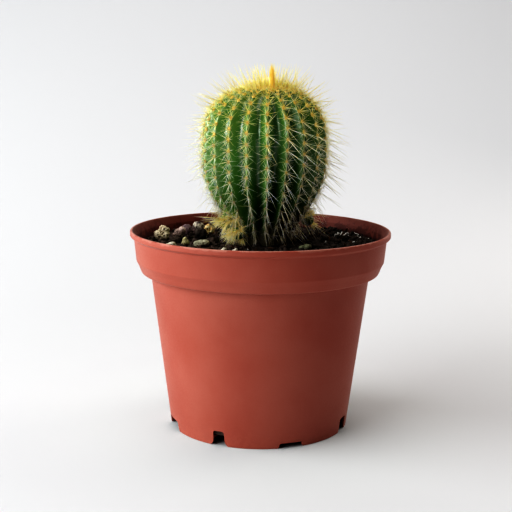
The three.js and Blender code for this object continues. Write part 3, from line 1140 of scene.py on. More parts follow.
@dataclass
class SoilBed:
    """The soil: a crumbly surface on a plain filling, with loose crumbs, bark, fibres and white grit.

    A clod has its middle and half size, and a sliver its x, y, length and tilt, in millimetres and
    degrees.
    """

    level: float = 84.9 * MM
    dip: tuple[float, float] = (-38 * MM, 2 * MM)
    dip_reach: float = 15 * MM
    wall_gap: float = 0.35 * MM
    rings: int = 96
    columns: int = 330
    bottom: float = 4.6 * MM
    crumb_count: int = 1500
    bark_count: int = 90
    grit_count: int = 34
    fibre_count: int = 70
    sliver_half_width: float = 0.50 * MM
    sliver_half_depth: float = 0.38 * MM
    right_soil_shade_strength: float = 0.85
    clods: tuple[tuple[float, float, float, float], ...] = (
        (-28.2, 14.6, 86.6, 3.4),
        (-39.8, 5.6, 85.0, 2.2),
        (-33.4, 8.0, 84.6, 2.0),
        (-21.8, 4.6, 85.0, 1.9),
    )
    slivers: tuple[tuple[float, float, float, float], ...] = (
        (39.6, 26.2, 2.4, 62),
        (41.4, 24.1, 2.0, 58),
        (44.6, 28.6, 1.6, 25),
        (47.2, 22.5, 2.6, -25),
        (44.3, 4.3, 2.6, 4),
        (36.4, 21.2, 1.9, 40),
        (30.6, 4.2, 1.2, 70),
        (37.8, 24.0, 1.5, 80),
        (40.6, 21.8, 1.3, 10),
        (43.0, 25.8, 1.9, -50),
        (42.4, 20.6, 1.1, 30),
        (45.6, 25.0, 1.3, 65),
        (38.4, 28.4, 1.4, -30),
        (46.8, 18.6, 1.1, 10),
        (34.8, 25.0, 1.3, 50),
        (33.6, 12.0, 1.0, 20),
    )
    stem_x: float = 1.4 * MM
    stem_radius: float = 11 * MM
    seed: int = 41

    def surface(self, x: Array, y: Array) -> Array:
        """Height of the soil: the level, plus noise of three widths, a heap at the stem and a dip.

        The heap is a smooth ramp and the dip is bell-shaped. All of it fades out at the wall.

        Args:
            x: Places from left to right.
            y: Places from front to back.

        Returns:
            The heights.
        """
        spot = np.stack([x, y, np.zeros_like(x)], axis=-1)
        swell = 0.5 * MM * soft_noise(spot, 17 * MM, self.seed)
        clods = 0.8 * MM * (0.52 - pit_noise(spot, 3.6 * MM, self.seed + 3))
        fine = 0.5 * MM * rough_noise(spot, 1.9 * MM, self.seed + 5, layers=3)
        radius = np.hypot(x, y)
        inside = smooth_ramp(self.edge() - radius, 0.0, 3 * MM)
        heap = 0.6 * MM * smooth_ramp(24 * MM - np.hypot(x - self.stem_x, y), 0, 12 * MM)
        dip_x, dip_y = self.dip
        dip = -1.0 * MM * np.exp(-((x - dip_x) ** 2 + (y - dip_y) ** 2) / self.dip_reach**2)
        return self.level + inside * (swell + clods + fine + heap + dip) - 0.4 * MM * (1 - inside)

    def right_soil_shade(self, x: Array) -> Array:
        """Painted shade: how much darker the soil is, from 0 at the left to the full strength at the right.
        """
        return self.right_soil_shade_strength * smooth_ramp(x, -16 * MM, 14 * MM)

    def edge(self) -> float:
        """Radius of the soil where its surface meets the pot's wall."""
        low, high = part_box("soil")
        return 0.5 * (high[0] - low[0]) - self.wall_gap + 0.3 * MM

    def build(self) -> None:
        """Build the bed and everything that lies on it."""
        soil = SoilFinish().build()
        self.build_bed(soil)
        rng = np.random.default_rng(self.seed)
        self.build_crumbs(soil, rng)
        self.build_bark(rng)
        self.build_grit(rng)
        self.build_fibres(rng)

    def build_bed(self, soil: bpy.types.Material) -> None:
        """The filling: rings of the surface from the middle out, then down the wall to the plate.

        Args:
            soil: The soil's finish.
        """
        pot = Pot()
        halfway = 40 * MM
        steps = np.linspace(0, 1, self.rings + 1)[1:]
        side_heights = np.array([80 * MM, 78 * MM, 75.6 * MM, 73.7 * MM, 73.6 * MM, halfway, self.bottom])
        side_radii = np.array([57.45 * MM, 57.2 * MM, 55.9 * MM, 54.5 * MM, pot.neck,
                               pot.wall_radius(halfway), pot.wall_radius(self.bottom)])
        radii = np.concatenate([[0], steps * self.edge(), side_radii - pot.wall - self.wall_gap, [0]])
        heights = np.concatenate([np.full(self.rings + 1, self.level), side_heights, [self.bottom]])
        shape = turned(radii, heights, self.columns)
        top = np.zeros(len(shape.corners), dtype=bool)
        top[: self.rings * self.columns] = True
        top[-2] = True
        spots = shape.corners[top]
        shape.corners[top, 2] = self.surface(spots[:, 0], spots[:, 1])
        tone = 0.5 + 0.5 * rough_noise(shape.corners, 5 * MM, self.seed + 9)
        # Painted shade: the bed is darker towards the right.
        shape.marks["tone"] = np.clip(tone - self.right_soil_shade(shape.corners[:, 0]), 0, 1)
        settle(make_object("soil_bed", shape, soil), "soil", "soil")

    def scatter(self, count: int, rng: np.random.Generator) -> tuple[Array, Array]:
        """Pick places on the soil that miss the stem, evenly by area.

        Args:
            count: How many places.
            rng: Random source.

        Returns:
            The places' x and y.
        """
        radius = (self.edge() - 1.2 * MM) * np.sqrt(rng.uniform(0, 1, 3 * count))
        angle = rng.uniform(0, TURN, 3 * count)
        x, y = radius * np.sin(angle), -radius * np.cos(angle)
        free = np.hypot(x - self.stem_x, y) > self.stem_radius
        return x[free][:count], y[free][:count]

    def build_crumbs(self, soil: bpy.types.Material, rng: np.random.Generator) -> None:
        """Loose crumbs, many small and a few large, half sunk in the bed.

        Args:
            soil: The soil's finish.
            rng: Random source.
        """
        x, y = self.scatter(self.crumb_count, rng)
        size = MM * (0.35 + 1.15 * rng.uniform(0, 1, len(x)) ** 3.5)
        sizes = size[:, None] * rng.uniform(0.7, 1.2, (len(x), 3))
        places = np.stack([x, y, self.surface(x, y) + 0.35 * size], axis=-1)
        # Painted shade: crumbs are darker towards the right.
        tone = np.clip(rng.uniform(0, 1, len(x)) ** 1.6 - self.right_soil_shade(x), 0, 1)
        loose = crumbs(places, sizes, 2, 0.55, rng, {"tone": tone})
        settle(make_object("soil_crumbs", joined([loose, self.big_clods(rng)]), soil), "soil")

    def big_clods(self, rng: np.random.Generator) -> Shape:
        """The few large dark clods that lie between the stones on the left.

        Args:
            rng: Random source.

        Returns:
            One shape with every clod.
        """
        spots = MM * np.array(self.clods)
        sizes = spots[:, 3:] * np.array([1.1, 0.9, 0.85])
        return crumbs(spots[:, :3], sizes, 4, 0.75, rng, {"tone": np.array([0.12, 0.30, 0.2, 0.35])})

    def build_bark(self, rng: np.random.Generator) -> None:
        """Flat splinters of bark lying on the soil.

        Args:
            rng: Random source.
        """
        x, y = self.scatter(self.bark_count, rng)
        places = np.stack([x, y, self.surface(x, y) + 0.3 * MM], axis=-1)
        sizes = MM * np.stack([rng.uniform(1.0, 2.6, len(x)), rng.uniform(0.5, 1.0, len(x)),
                               rng.uniform(0.2, 0.4, len(x))], axis=-1)
        finish = StoneFinish("bark_bits", base=(0.06, 0.03, 0.016), patch=(0.15, 0.08, 0.045))
        shape = crumbs(places, sizes, 2, 0.5, rng, {"pit": np.zeros(len(x))})
        settle(make_object("bark_bits", shape, finish.build()), "soil")

    def build_grit(self, rng: np.random.Generator) -> None:
        """White grit: small grains all over, and the long slivers that stick up at the right.

        Args:
            rng: Random source.
        """
        x, y = self.scatter(self.grit_count, rng)
        size = MM * rng.uniform(0.2, 0.5, len(x))
        sizes = size[:, None] * rng.uniform(0.75, 1.3, (len(x), 3))
        places = np.stack([x, y, self.surface(x, y) + 0.4 * size], axis=-1)
        finish = StoneFinish("white_grit", base=(0.777, 0.759, 0.723), patch=(0.939, 0.930, 0.903))
        grains = crumbs(places, sizes, 2, 0.35, rng, {"pit": np.zeros(len(x))})
        settle(make_object("white_grit", joined([grains, self.long_slivers()]), finish.build()), "stone_pale")

    def long_slivers(self) -> Shape:
        """Lumpy balls, each stretched to its length along its tilt, in millimetres and degrees.

        Returns:
            One shape with every sliver.
        """
        x, y, length, tilt = np.array(self.slivers).T * np.array([[MM], [MM], [MM], [1.0]])
        tilt = np.radians(tilt)
        half = 0.5 * length
        ways = unit(np.stack([np.cos(tilt), 0.25 * np.ones_like(tilt), np.sin(tilt)], axis=-1))
        side = unit(np.cross(ways, np.array([0, 0, 1.0])))
        third = np.cross(side, ways)
        base, faces = ball(3)
        lumps = 1 + 0.3 * soft_noise(base[None] + 5.0 * np.arange(len(x))[:, None, None], 0.7, 3)
        thin = base[None] * lumps[..., None]
        corners = (half[:, None, None] * thin[..., :1] * ways[:, None]
                   + self.sliver_half_width * thin[..., 1:2] * side[:, None]
                   + self.sliver_half_depth * thin[..., 2:] * third[:, None])
        height = self.surface(x, y) + 0.45 * half * np.abs(np.sin(tilt)) + 0.3 * MM
        centre = np.stack([x, y, height], axis=-1)
        return copies(centre[:, None] + corners, faces, {"pit": np.zeros(len(x))})

    def build_fibres(self, rng: np.random.Generator) -> None:
        """Thin dry root fibres curving over the soil.

        Args:
            rng: Random source.
        """
        x, y = self.scatter(self.fibre_count, rng)
        angle = rng.uniform(0, TURN, len(x))
        ways = unit(np.stack([np.cos(angle), np.sin(angle), rng.uniform(0.05, 0.5, len(x))], axis=-1))
        sags = np.stack([-0.35 * np.sin(angle), 0.35 * np.cos(angle), -ways[:, 2] * 1.1], axis=-1)
        roots = np.stack([x, y, self.surface(x, y)], axis=-1)
        lengths = MM * rng.uniform(2.5, 6.5, len(x))
        radii = MM * rng.uniform(0.06, 0.13, len(x))
        inside = np.hypot(*(roots + lengths[:, None] * (ways + sags))[:, :2].T) < self.edge() - 1 * MM
        marks = {"gold": np.zeros(inside.sum())}
        shape = spikes(roots[inside], ways[inside], sags[inside], lengths[inside], radii[inside], 4, 5, marks)
        finish = SpineFinish("root_fibres", old=(0.17, 0.11, 0.07), glow=0.0, painted_glow=0.0)
        settle(make_object("root_fibres", shape, finish.build()), "soil")


class StoneKind(Enum):
    """The finishes of the stones."""

    PUMICE = StoneFinish("stone_pumice", base=(0.52, 0.42, 0.29), patch=(0.86, 0.77, 0.59))
    PURPLE = StoneFinish("stone_purple", base=(0.36, 0.26, 0.24), patch=(0.72, 0.57, 0.52))
    DARK = StoneFinish("stone_dark", base=(0.17, 0.12, 0.13), patch=(0.32, 0.23, 0.24))
    SPOTTED = StoneFinish("stone_spotted", base=(0.105, 0.080, 0.080), patch=(0.78, 0.70, 0.58))
    GOLDEN = StoneFinish("stone_golden", base=(0.703, 0.430, 0.162), patch=(0.867, 0.813, 0.536))
    PALE = StoneFinish("stone_pale", base=(0.740, 0.676, 0.536), patch=(0.940, 0.913, 0.813))
    OLIVE = StoneFinish("stone_olive", base=(0.470, 0.425, 0.230), patch=(0.790, 0.750, 0.520))
    GREY = StoneFinish("stone_grey", base=(0.350, 0.335, 0.240), patch=(0.611, 0.590, 0.460))
    MOSSY = StoneFinish("stone_mossy", base=(0.110, 0.120, 0.070), patch=(0.350, 0.360, 0.240))


@dataclass(frozen=True)
class Stone:
    """One stone: the node it stands for, its finish, its slot, and how lumpy, pitted and fine it is.

    Each lump is a ball: its middle and its radius, in half widths of the node's box.
    """

    node: str
    kind: StoneKind
    slot: str
    lumps: tuple[tuple[float, float, float, float], ...] = ((0.0, 0.0, 0.0, 0.9),)
    pits: float = 0.5
    level: int = 5
    flats: int = 9
    seed: int = field(kw_only=True)

    def build(self, material: bpy.types.Material) -> None:
        """Join the lumps, break them into flats, dent them with noise and press pits into them.

        Along a direction the radius is where the ray from the middle leaves the furthest lump,
        blended softly with the nearest of some random planes. Broad, ridged and fine noise is
        added, and a pit is pressed wherever the distance to the nearest scattered point is small.
        The result is then fitted to the node's box.

        Args:
            material: The stone's finish.
        """
        low, high = (np.array(corner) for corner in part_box(self.node))
        base, faces = ball(self.level)
        rng = np.random.default_rng(self.seed)
        shift = 7.3 * self.seed
        reach = np.full(len(base), 0.35)
        for *middle, radius in self.lumps:
            toward = base @ np.array(middle)
            room = toward**2 - np.dot(middle, middle) + radius**2
            leave = np.where(room > 0, toward + np.sqrt(np.maximum(room, 0)), 0.0)
            reach = (reach**8 + np.maximum(leave, 0.0) ** 8) ** (1 / 8)
        planes = unit(rng.normal(size=(self.flats, 3)))
        plane = rng.uniform(0.80, 1.0, self.flats) / np.maximum(base @ planes.T, 0.08)
        reach = (reach**-7 + np.sum(np.minimum(plane, 4.0) ** -7, axis=1)) ** (-1 / 7)
        broad = 0.13 * soft_noise(base + shift, 0.95, self.seed)
        edges = 0.20 * (0.5 - np.abs(rough_noise(base + shift, 0.62, self.seed + 2, layers=4, fade=0.6)))
        fine = 0.08 * rough_noise(base + shift, 0.20, self.seed + 4, layers=3, fade=0.6)
        spot = pit_noise(base + shift, 0.42, self.seed + 6)
        small = pit_noise(base + shift, 0.19, self.seed + 9)
        pit = smooth_ramp(-spot, -0.42, -0.12) + 0.45 * smooth_ramp(-small, -0.42, -0.1)
        pit = np.minimum(pit, 1.0) * self.pits
        corners = base * (reach + broad + edges + fine - 0.36 * pit)[:, None]
        least, most = corners.min(axis=0), corners.max(axis=0)
        corners = low + (corners - least) / (most - least) * (high - low)
        shape = Shape(corners, [faces], {"pit": np.clip(1.3 * pit, 0, 0.85)}).facing_out()
        settle(make_object(self.node + "_fine", shape, material), self.slot, self.node)


STONES = (
    Stone("stone_pumice", StoneKind.PUMICE, "stone_pale",
          ((-0.25, -0.1, -0.45, 0.62), (0.3, 0.0, 0.42, 0.5), (0.35, -0.2, -0.35, 0.5)), pits=0.6, seed=11),
    Stone("stone_purple_left", StoneKind.PURPLE, "stone_dark",
          ((-0.6, -0.2, -0.35, 0.38), (0.0, 0.0, -0.1, 0.62), (0.45, 0.0, 0.3, 0.5)), pits=0.3, seed=12),
    Stone("stone_purple_right", StoneKind.DARK, "stone_dark",
          ((-0.3, -0.2, 0.25, 0.65), (0.4, 0.0, -0.1, 0.6)), pits=0.35, seed=13),
    Stone("stone_dark_lump", StoneKind.SPOTTED, "stone_dark", pits=0.7, seed=14),
    Stone("stone_golden", StoneKind.GOLDEN, "stone_golden",
          ((-0.35, -0.2, -0.1, 0.6), (-0.1, 0.0, 0.5, 0.42), (0.4, 0.0, 0.1, 0.5)), pits=0.6, seed=15),
    Stone("stone_pale_small", StoneKind.OLIVE, "stone_pale",
          ((0.0, 0.0, -0.3, 0.8), (-0.1, 0.0, 0.45, 0.42)), pits=0.6, level=4, seed=16),
    Stone("stone_grey_long", StoneKind.GREY, "stone_grey",
          ((-0.55, 0.0, -0.1, 0.5), (0.0, 0.0, 0.0, 0.6), (0.5, 0.0, 0.1, 0.5)), seed=17),
    Stone("stone_rim_bright", StoneKind.PALE, "stone_pale",
          ((-0.5, 0.0, 0.0, 0.45), (0.1, 0.0, 0.2, 0.6), (0.6, 0.0, -0.2, 0.4)), level=4, seed=18),
    Stone("stone_front_large", StoneKind.PALE, "stone_pale",
          ((-0.5, 0.0, -0.2, 0.45), (0.15, 0.0, 0.2, 0.55), (0.6, -0.1, -0.4, 0.4)), level=4, seed=19),
    Stone("stone_front_small", StoneKind.PALE, "stone_pale",
          ((-0.2, 0.0, -0.4, 0.6), (0.25, 0.0, 0.4, 0.45)), level=4, seed=20),
    Stone("stone_right_green", StoneKind.MOSSY, "stone_grey",
          ((-0.4, 0.0, -0.1, 0.5), (0.3, 0.0, 0.1, 0.6)), level=4, seed=21),
)


@dataclass(frozen=True)
class StemSize:
    """Sizes of the stem's outline, ribs, areoles and root, and how far its spines may reach."""

    ribs: int = 19
    turn: float = math.radians(2)
    centre_x: float = 1.4 * MM
    radius: float = 28.2 * MM
    top: float = 156.4 * MM
    belt: float = 131 * MM
    crown_exponent: float = 2.4
    collar: float = 12 * MM
    soil: float = 85 * MM
    waist_power: float = 1.62
    rib_depth: float = 5.6 * MM
    fade_low: float = 85 * MM
    fade_high: float = 97 * MM
    upper_depth: float = 0.66
    shallow_low: float = 116 * MM
    shallow_high: float = 138 * MM
    valley_power: float = 2.3
    crest_round: float = 0.16
    bunching: float = 0.058
    apex_shift: float = 3 * MM
    apex_reach: float = 20 * MM
    root_length: float = 25 * MM
    root_tip: float = 3 * MM
    hump: float = 0.38 * MM
    areole_pitch: float = 4.75 * MM
    crown_pitch: float = 1.7 * MM
    highest: float = 167.7 * MM
    soil_gap: float = 0.4 * MM


class Stem:
    """The ribbed surface, as a function of the length along its outline and the angle round it."""

    def __init__(self, size: StemSize) -> None:
        """Trace the outline finely and measure it.

        The shoulder is a superellipse from the apex to the belt, and the waist runs in to the collar
        as half a cosine of the drop to the power `waist_power`.

        Args:
            size: The stem's driving sizes.
        """
        self.size = size
        angle = np.linspace(0.5 * math.pi, 0, 500)
        power = 2 / size.crown_exponent
        crown_r = size.radius * np.cos(angle) ** power
        crown_z = size.belt + (size.top - size.belt) * np.sin(angle) ** power
        run = np.linspace(0, 1, 500)[1:]
        draw = 0.5 * (1 - np.cos(math.pi * run**size.waist_power))
        waist_r = blend(size.radius, size.collar, draw)
        waist_z = blend(size.belt, size.soil, run)
        self.r = np.concatenate([np.abs(crown_r), waist_r])
        self.z = np.concatenate([crown_z, waist_z])
        self.arc = np.concatenate([[0], np.cumsum(np.hypot(np.diff(self.r), np.diff(self.z)))])
        self.length = float(self.arc[-1])
        slope_r, slope_z = np.gradient(self.r, self.arc), np.gradient(self.z, self.arc)
        reach = np.hypot(slope_r, slope_z)
        self.out_r, self.out_z = -slope_z / reach, slope_r / reach
        pitch = blend(size.crown_pitch, size.areole_pitch, smooth_ramp(self.arc, 5 * MM, 20 * MM))
        self.count = np.concatenate([[0], np.cumsum(np.diff(self.arc) / (0.5 * (pitch[1:] + pitch[:-1])))])

    def at(self, arc: Array) -> tuple[Array, Array, Array, Array]:
        """Radius, height and both parts of the outward direction at a length from the apex."""
        return tuple(np.interp(arc, self.arc, line) for line in (self.r, self.z, self.out_r, self.out_z))

    def bunched(self, angle: Array) -> Array:
        """Real angle of an evenly spaced one: the ribs stand a little closer together at the front."""
        return angle - self.size.bunching * np.sin(angle)

    def start_of(self, rib: Array) -> Array:
        """How far each rib's first areole is set back, in areole steps, so that they spiral."""
        return (0.382 * rib) % 1.0

    def depth(self, radius: Array, height: Array) -> Array:
        """Depth of the valleys, which are shallower above the belt and fade out at both ends.

        Args:
            radius: Radius of the outline there.
            height: Height there.

        Returns:
            The depths.
        """
        size = self.size
        fade = smooth_ramp(height, size.fade_low, size.fade_high)
        upper = blend(1.0, size.upper_depth, smooth_ramp(height, size.shallow_low, size.shallow_high))
        return size.rib_depth * np.minimum(1, radius / size.radius) * fade * upper

    def surface(self, arc: Array, angle: Array) -> tuple[Array, Array]:
        """Places on the ribbed skin.

        Across a rib the skin sinks from 0 at the crest to the full depth in the valley, along a
        power curve that is level in the valley, so the valleys are broad and round. Between two
        areoles the crest swells by a cosine hump. Slow noise makes the ribs sway a little, and finer
        noise makes the skin uneven.

        Args:
            arc: Length from the apex along the outline.
            angle: Angle round the stem as if its ribs were evenly spaced, 0 at the front.

        Returns:
            The places, shape (..., 3), and how far across its rib each lies, 0 at the crest.
        """
        size = self.size
        radius, height, out_r, out_z = self.at(arc)
        turns = (angle - size.turn) * size.ribs / TURN
        rib = np.round(turns)
        angle = self.bunched(angle)
        across = 2 * np.abs(turns - rib)
        soft = np.hypot(across, size.crest_round) - size.crest_round
        soft = soft / (math.hypot(1, size.crest_round) - size.crest_round)
        sink = self.depth(radius, height) * (1 - (1 - soft) ** size.valley_power)
        step = np.interp(arc, self.arc, self.count) - self.start_of(rib % size.ribs)
        swell = 0.5 * (1 - np.cos(TURN * step)) * (1 - smooth_ramp(across, 0.0, 0.55))
        grown = smooth_ramp(arc, 3 * MM, 16 * MM) * smooth_ramp(height, size.fade_low, size.fade_high)
        wave = ring_place(radius, angle, height)
        uneven = 0.28 * MM * soft_noise(wave, 9 * MM, 3) + 0.1 * MM * soft_noise(wave, 2.2 * MM, 8)
        push = size.hump * swell * grown - sink + uneven * smooth_ramp(radius, 0, 8 * MM)
        sway = 0.018 * soft_noise(np.stack([rib, height / (14 * MM), np.zeros_like(height)], axis=-1), 1.0, 5)
        sway = sway * grown
        flat = np.maximum(radius + out_r * push, 0)
        return self.shifted(ring_place(flat, angle + sway, height + out_z * push)), across

    def shifted(self, place: Array) -> Array:
        """Move the growing point to one side of the crown, and the stem to its middle line.

        Args:
            place: Places on a stem that stands on the axis.

        Returns:
            The moved places.
        """
        size = self.size
        radius = np.hypot(place[..., 0], place[..., 1])
        near = np.clip(1 - (radius / size.apex_reach) ** 2, 0, 1) ** 2
        moved = place.copy()
        moved[..., 0] += size.centre_x + np.where(place[..., 2] > size.belt, size.apex_shift * near, 0.0)
        return moved

    def directions(self, arc: Array, angle: Array) -> tuple[Array, Array, Array]:
        """Unit directions at places on the crests.

        Args:
            arc: Length from the apex.
            angle: Angle as if the ribs were evenly spaced.

        Returns:
            The directions outwards, up the rib and sideways.
        """
        _, _, out_r, out_z = self.at(arc)
        angle = self.bunched(angle)
        side = ring_place(1.0, angle + 0.5 * math.pi, np.zeros_like(angle))
        return ring_place(out_r, angle, out_z), ring_place(-out_z, angle, out_r), side

    def areoles(self) -> tuple[Array, Array]:
        """Find every areole, crest by crest.

        Returns:
            Each one's length from the apex and its angle.
        """
        size = self.size
        last = float(np.interp(self.length - 3.5 * MM, self.arc, self.count))
        rib, step = np.meshgrid(np.arange(size.ribs), np.arange(int(last) + 1), indexing="ij")
        place = step + self.start_of(rib)
        found = (place > 0.6) & (place < last)
        arc = np.interp(place[found], self.count, self.arc)
        return arc, size.turn + TURN * rib[found] / size.ribs


class SpineKind(Enum):
    """The kinds of spine on an areole, from the finest to the stoutest, and the old ones that hang."""

    BRISTLE = "bristle"
    RADIAL = "radial"
    CENTRAL = "central"
    HANGING = "hanging"


@dataclass(frozen=True)
class SpineStyle:
    """Sizes of one kind of spine: how many, how long and thick, and how far they stand up.

    `crown_stretch` lengthens those near the apex, `gold_end` is how far from the apex they stay
    golden, and `begin` is how far from the apex they start. `hang` bends them down below the
    belt, `narrow` closes them up along the rib there, `kept_low` is the share of them that is
    left near the soil, and `lean` bends those on the right to the right and down, and makes them
    longer and less golden.
    """

    kind: SpineKind
    count: int
    shortest: float
    longest: float
    thickness: float
    stand_low: float
    stand_high: float
    sides: int = 3
    rings: int = 2
    crown_stretch: float = 1.0
    gold_end: float = 75 * MM
    begin: float = 0.0
    hang: float = 0.25
    narrow: float = 0.5
    kept_low: float = 0.45
    lean: float = 0.0


STYLES = (
    SpineStyle(SpineKind.BRISTLE, 18, 1.8 * MM, 4.0 * MM, 0.055 * MM, 8, 60, rings=1, gold_end=110 * MM,
               crown_stretch=1.4, narrow=0.3),
    SpineStyle(SpineKind.RADIAL, 12, 3.6 * MM, 6.8 * MM, 0.100 * MM, 8, 42, crown_stretch=1.15),
    SpineStyle(SpineKind.CENTRAL, 3, 7.0 * MM, 11.5 * MM, 0.100 * MM, 48, 80, sides=4, rings=3, hang=0.6,
               crown_stretch=1.25, gold_end=58 * MM, lean=0.6),
    SpineStyle(SpineKind.HANGING, 1, 9.0 * MM, 14.0 * MM, 0.078 * MM, 5, 18, rings=3, begin=64 * MM, hang=1.3,
               kept_low=0.35),
)


@dataclass
class Thorns:
    """The spines of one kind on the stem.

    Args:
        stem: The stem's surface.
        style: The kind's sizes.
        arc: Length from the apex of each spine's areole.
        angle: Angle of each spine's areole.
        rng: Random source.
        lift: How far out of the areole's middle each spine starts.
    """

    stem: Stem
    style: SpineStyle
    arc: Array
    angle: Array
    rng: np.random.Generator
    lift: float = 0.35 * MM

    def __post_init__(self) -> None:
        """Work out how far right, how near the soil and how near the crown each one stands, 0 to 1."""
        self.right = smooth_ramp(np.sin(self.angle), -0.15, 0.35) * smooth_ramp(self.arc, 24 * MM, 40 * MM)
        self.low = smooth_ramp(self.arc, 45 * MM, 80 * MM)
        self.crown = 1 - smooth_ramp(self.arc, 14 * MM, 40 * MM)

    def ways(self) -> Array:
        """Point the spines.

        Bristles and radials are spread evenly round the areole. Centrals stand out and point down
        the rib, one closely and the others loosely, and hanging ones lie close down it. Low on the
        stem all bend down and close up along the rib, and near the apex all turn upwards.

        Returns:
            Unit directions.
        """
        style, rng, total = self.style, self.rng, len(self.arc)
        order = np.arange(total) % style.count
        round_angle = TURN * (order + 0.30 * rng.normal(size=total)) / style.count
        if style.kind is SpineKind.CENTRAL:
            round_angle = math.pi + np.where(order == 0, 0.25, 1.3) * rng.normal(size=total)
        if style.kind is SpineKind.HANGING:
            round_angle = math.pi + 0.15 * rng.normal(size=total)
        stand = np.radians(rng.uniform(style.stand_low, style.stand_high, total))
        near = 1 - smooth_ramp(self.arc, 3 * MM, 12 * MM)
        out, up, side = self.stem.directions(self.arc, self.angle)
        sideways = np.sin(round_angle) * (1 - style.narrow * self.low)
        flat = up * np.cos(round_angle)[:, None] + side * sideways[:, None]
        ways = out * np.sin(stand)[:, None] + flat * np.cos(stand)[:, None]
        ways = ways + near[:, None] * np.array([0, 0, 0.5]) - self.low[:, None] * np.array([0, 0, style.hang])
        return unit(ways + style.lean * self.right[:, None] * np.array([1.0, 0, -0.75]))

    def lengths(self, roots: Array, ways: Array) -> Array:
        """Measure the spines, cut short where they would pass the top or the soil.

        Args:
            roots: Where the spines start.
            ways: Their unit directions.

        Returns:
            The lengths.
        """
        style, size, rise = self.style, self.stem.size, ways[:, 2]
        lengths = self.rng.uniform(style.shortest, style.longest, len(roots))
        lengths = lengths * (1 + 0.5 * style.lean * self.right) * blend(1.0, style.crown_stretch, self.crown)
        room = (size.highest - roots[:, 2]) / np.maximum(rise, 0.05)
        drop = (roots[:, 2] - size.soil - size.soil_gap) / np.maximum(-rise + 0.02, 0.02)
        return np.minimum(np.minimum(lengths, np.where(rise > 0.05, room, 1.0)), drop)

    def share(self) -> Array:
        """Share of the spines that is left: fewer near the soil and near the apex.

        All kinds but the bristles thin out further from the apex at the crown's front.

        Returns:
            The share at each spine.
        """
        share = blend(1.0, self.style.kept_low, self.low)
        if self.style.kind is SpineKind.BRISTLE:
            return share * smooth_ramp(self.arc, 8 * MM, 24 * MM)
        front = smooth_ramp(np.cos(self.angle), -0.1, 0.6)
        ramps = (smooth_ramp(self.arc, 3 * MM, 13 * MM), smooth_ramp(self.arc, 8 * MM, 27 * MM))
        return share * blend(0.25, 1.0, blend(*ramps, front))

    def marks(self) -> dict[str, Array]:
        """Tell how golden, warm, dusty and shaded each spine is: those low on the right get painted shade.

        Returns:
            The marks by name.
        """
        style, rng, arc = self.style, self.rng, self.arc
        gold = 1 - smooth_ramp(arc, 10 * MM, style.gold_end) + 0.12 * rng.normal(size=len(arc))
        gold = np.clip(gold, 0, 1) * (1 - 0.6 * style.lean * self.right)
        # Painted shade: spines low on the right side are dulled toward the dust colour.
        away = smooth_ramp(np.sin(self.angle), 0.0, 0.45) * smooth_ramp(arc, 36 * MM, 62 * MM)
        dusty = np.maximum(smooth_ramp(arc, 56 * MM, 80 * MM), 0.45 * away)
        if style.kind is SpineKind.CENTRAL:
            dusty = np.maximum(dusty, 0.7 * smooth_ramp(arc, 10 * MM, 16 * MM) * self.crown)
        warm = rng.uniform(0, 0.35, len(arc)) * gold
        return {"gold": gold, "warm": warm, "dusty": dusty * rng.uniform(0.5, 1, len(arc))}

    def build(self, spine: bpy.types.Material) -> None:
        """Grow the spines and dress them.

        Args:
            spine: Their finish.
        """
        style, rng, total = self.style, self.rng, len(self.arc)
        ways = self.ways()
        roots = self.stem.surface(self.arc, self.angle)[0] + self.lift * ways
        lengths = self.lengths(roots, ways)
        sags = 0.03 * rng.normal(size=(total, 3)) + np.array([0, 0, -0.02])
        kept = (rng.uniform(0, 1, total) < self.share()) & (lengths > 0.4 * style.shortest)
        radii = style.thickness * rng.uniform(0.8, 1.15, total)
        marks = {name: mark[kept] for name, mark in self.marks().items()}
        shape = spikes(roots[kept], ways[kept], sags[kept], lengths[kept], radii[kept],
                       style.sides, style.rings, marks)
        settle(make_object(f"{style.kind.value}_spines", shape, spine), "cactus_spines")


@dataclass(frozen=True)
class Offset:
    """A small head at the stem's foot, in millimetres.

    It has a middle and a radius, short spines that lean one way, with their count and range of
    lengths, and long strands, with their count, range of lengths and way. One without a head is
    a mat of spines on the stem itself.
    """

    middle: tuple[float, float, float]
    radius: float
    lean: tuple[float, float, float]
    spines: int
    lengths: tuple[float, float]
    strands: int
    strand_lengths: tuple[float, float]
    strand_way: tuple[float, float, float]
    head: bool = True


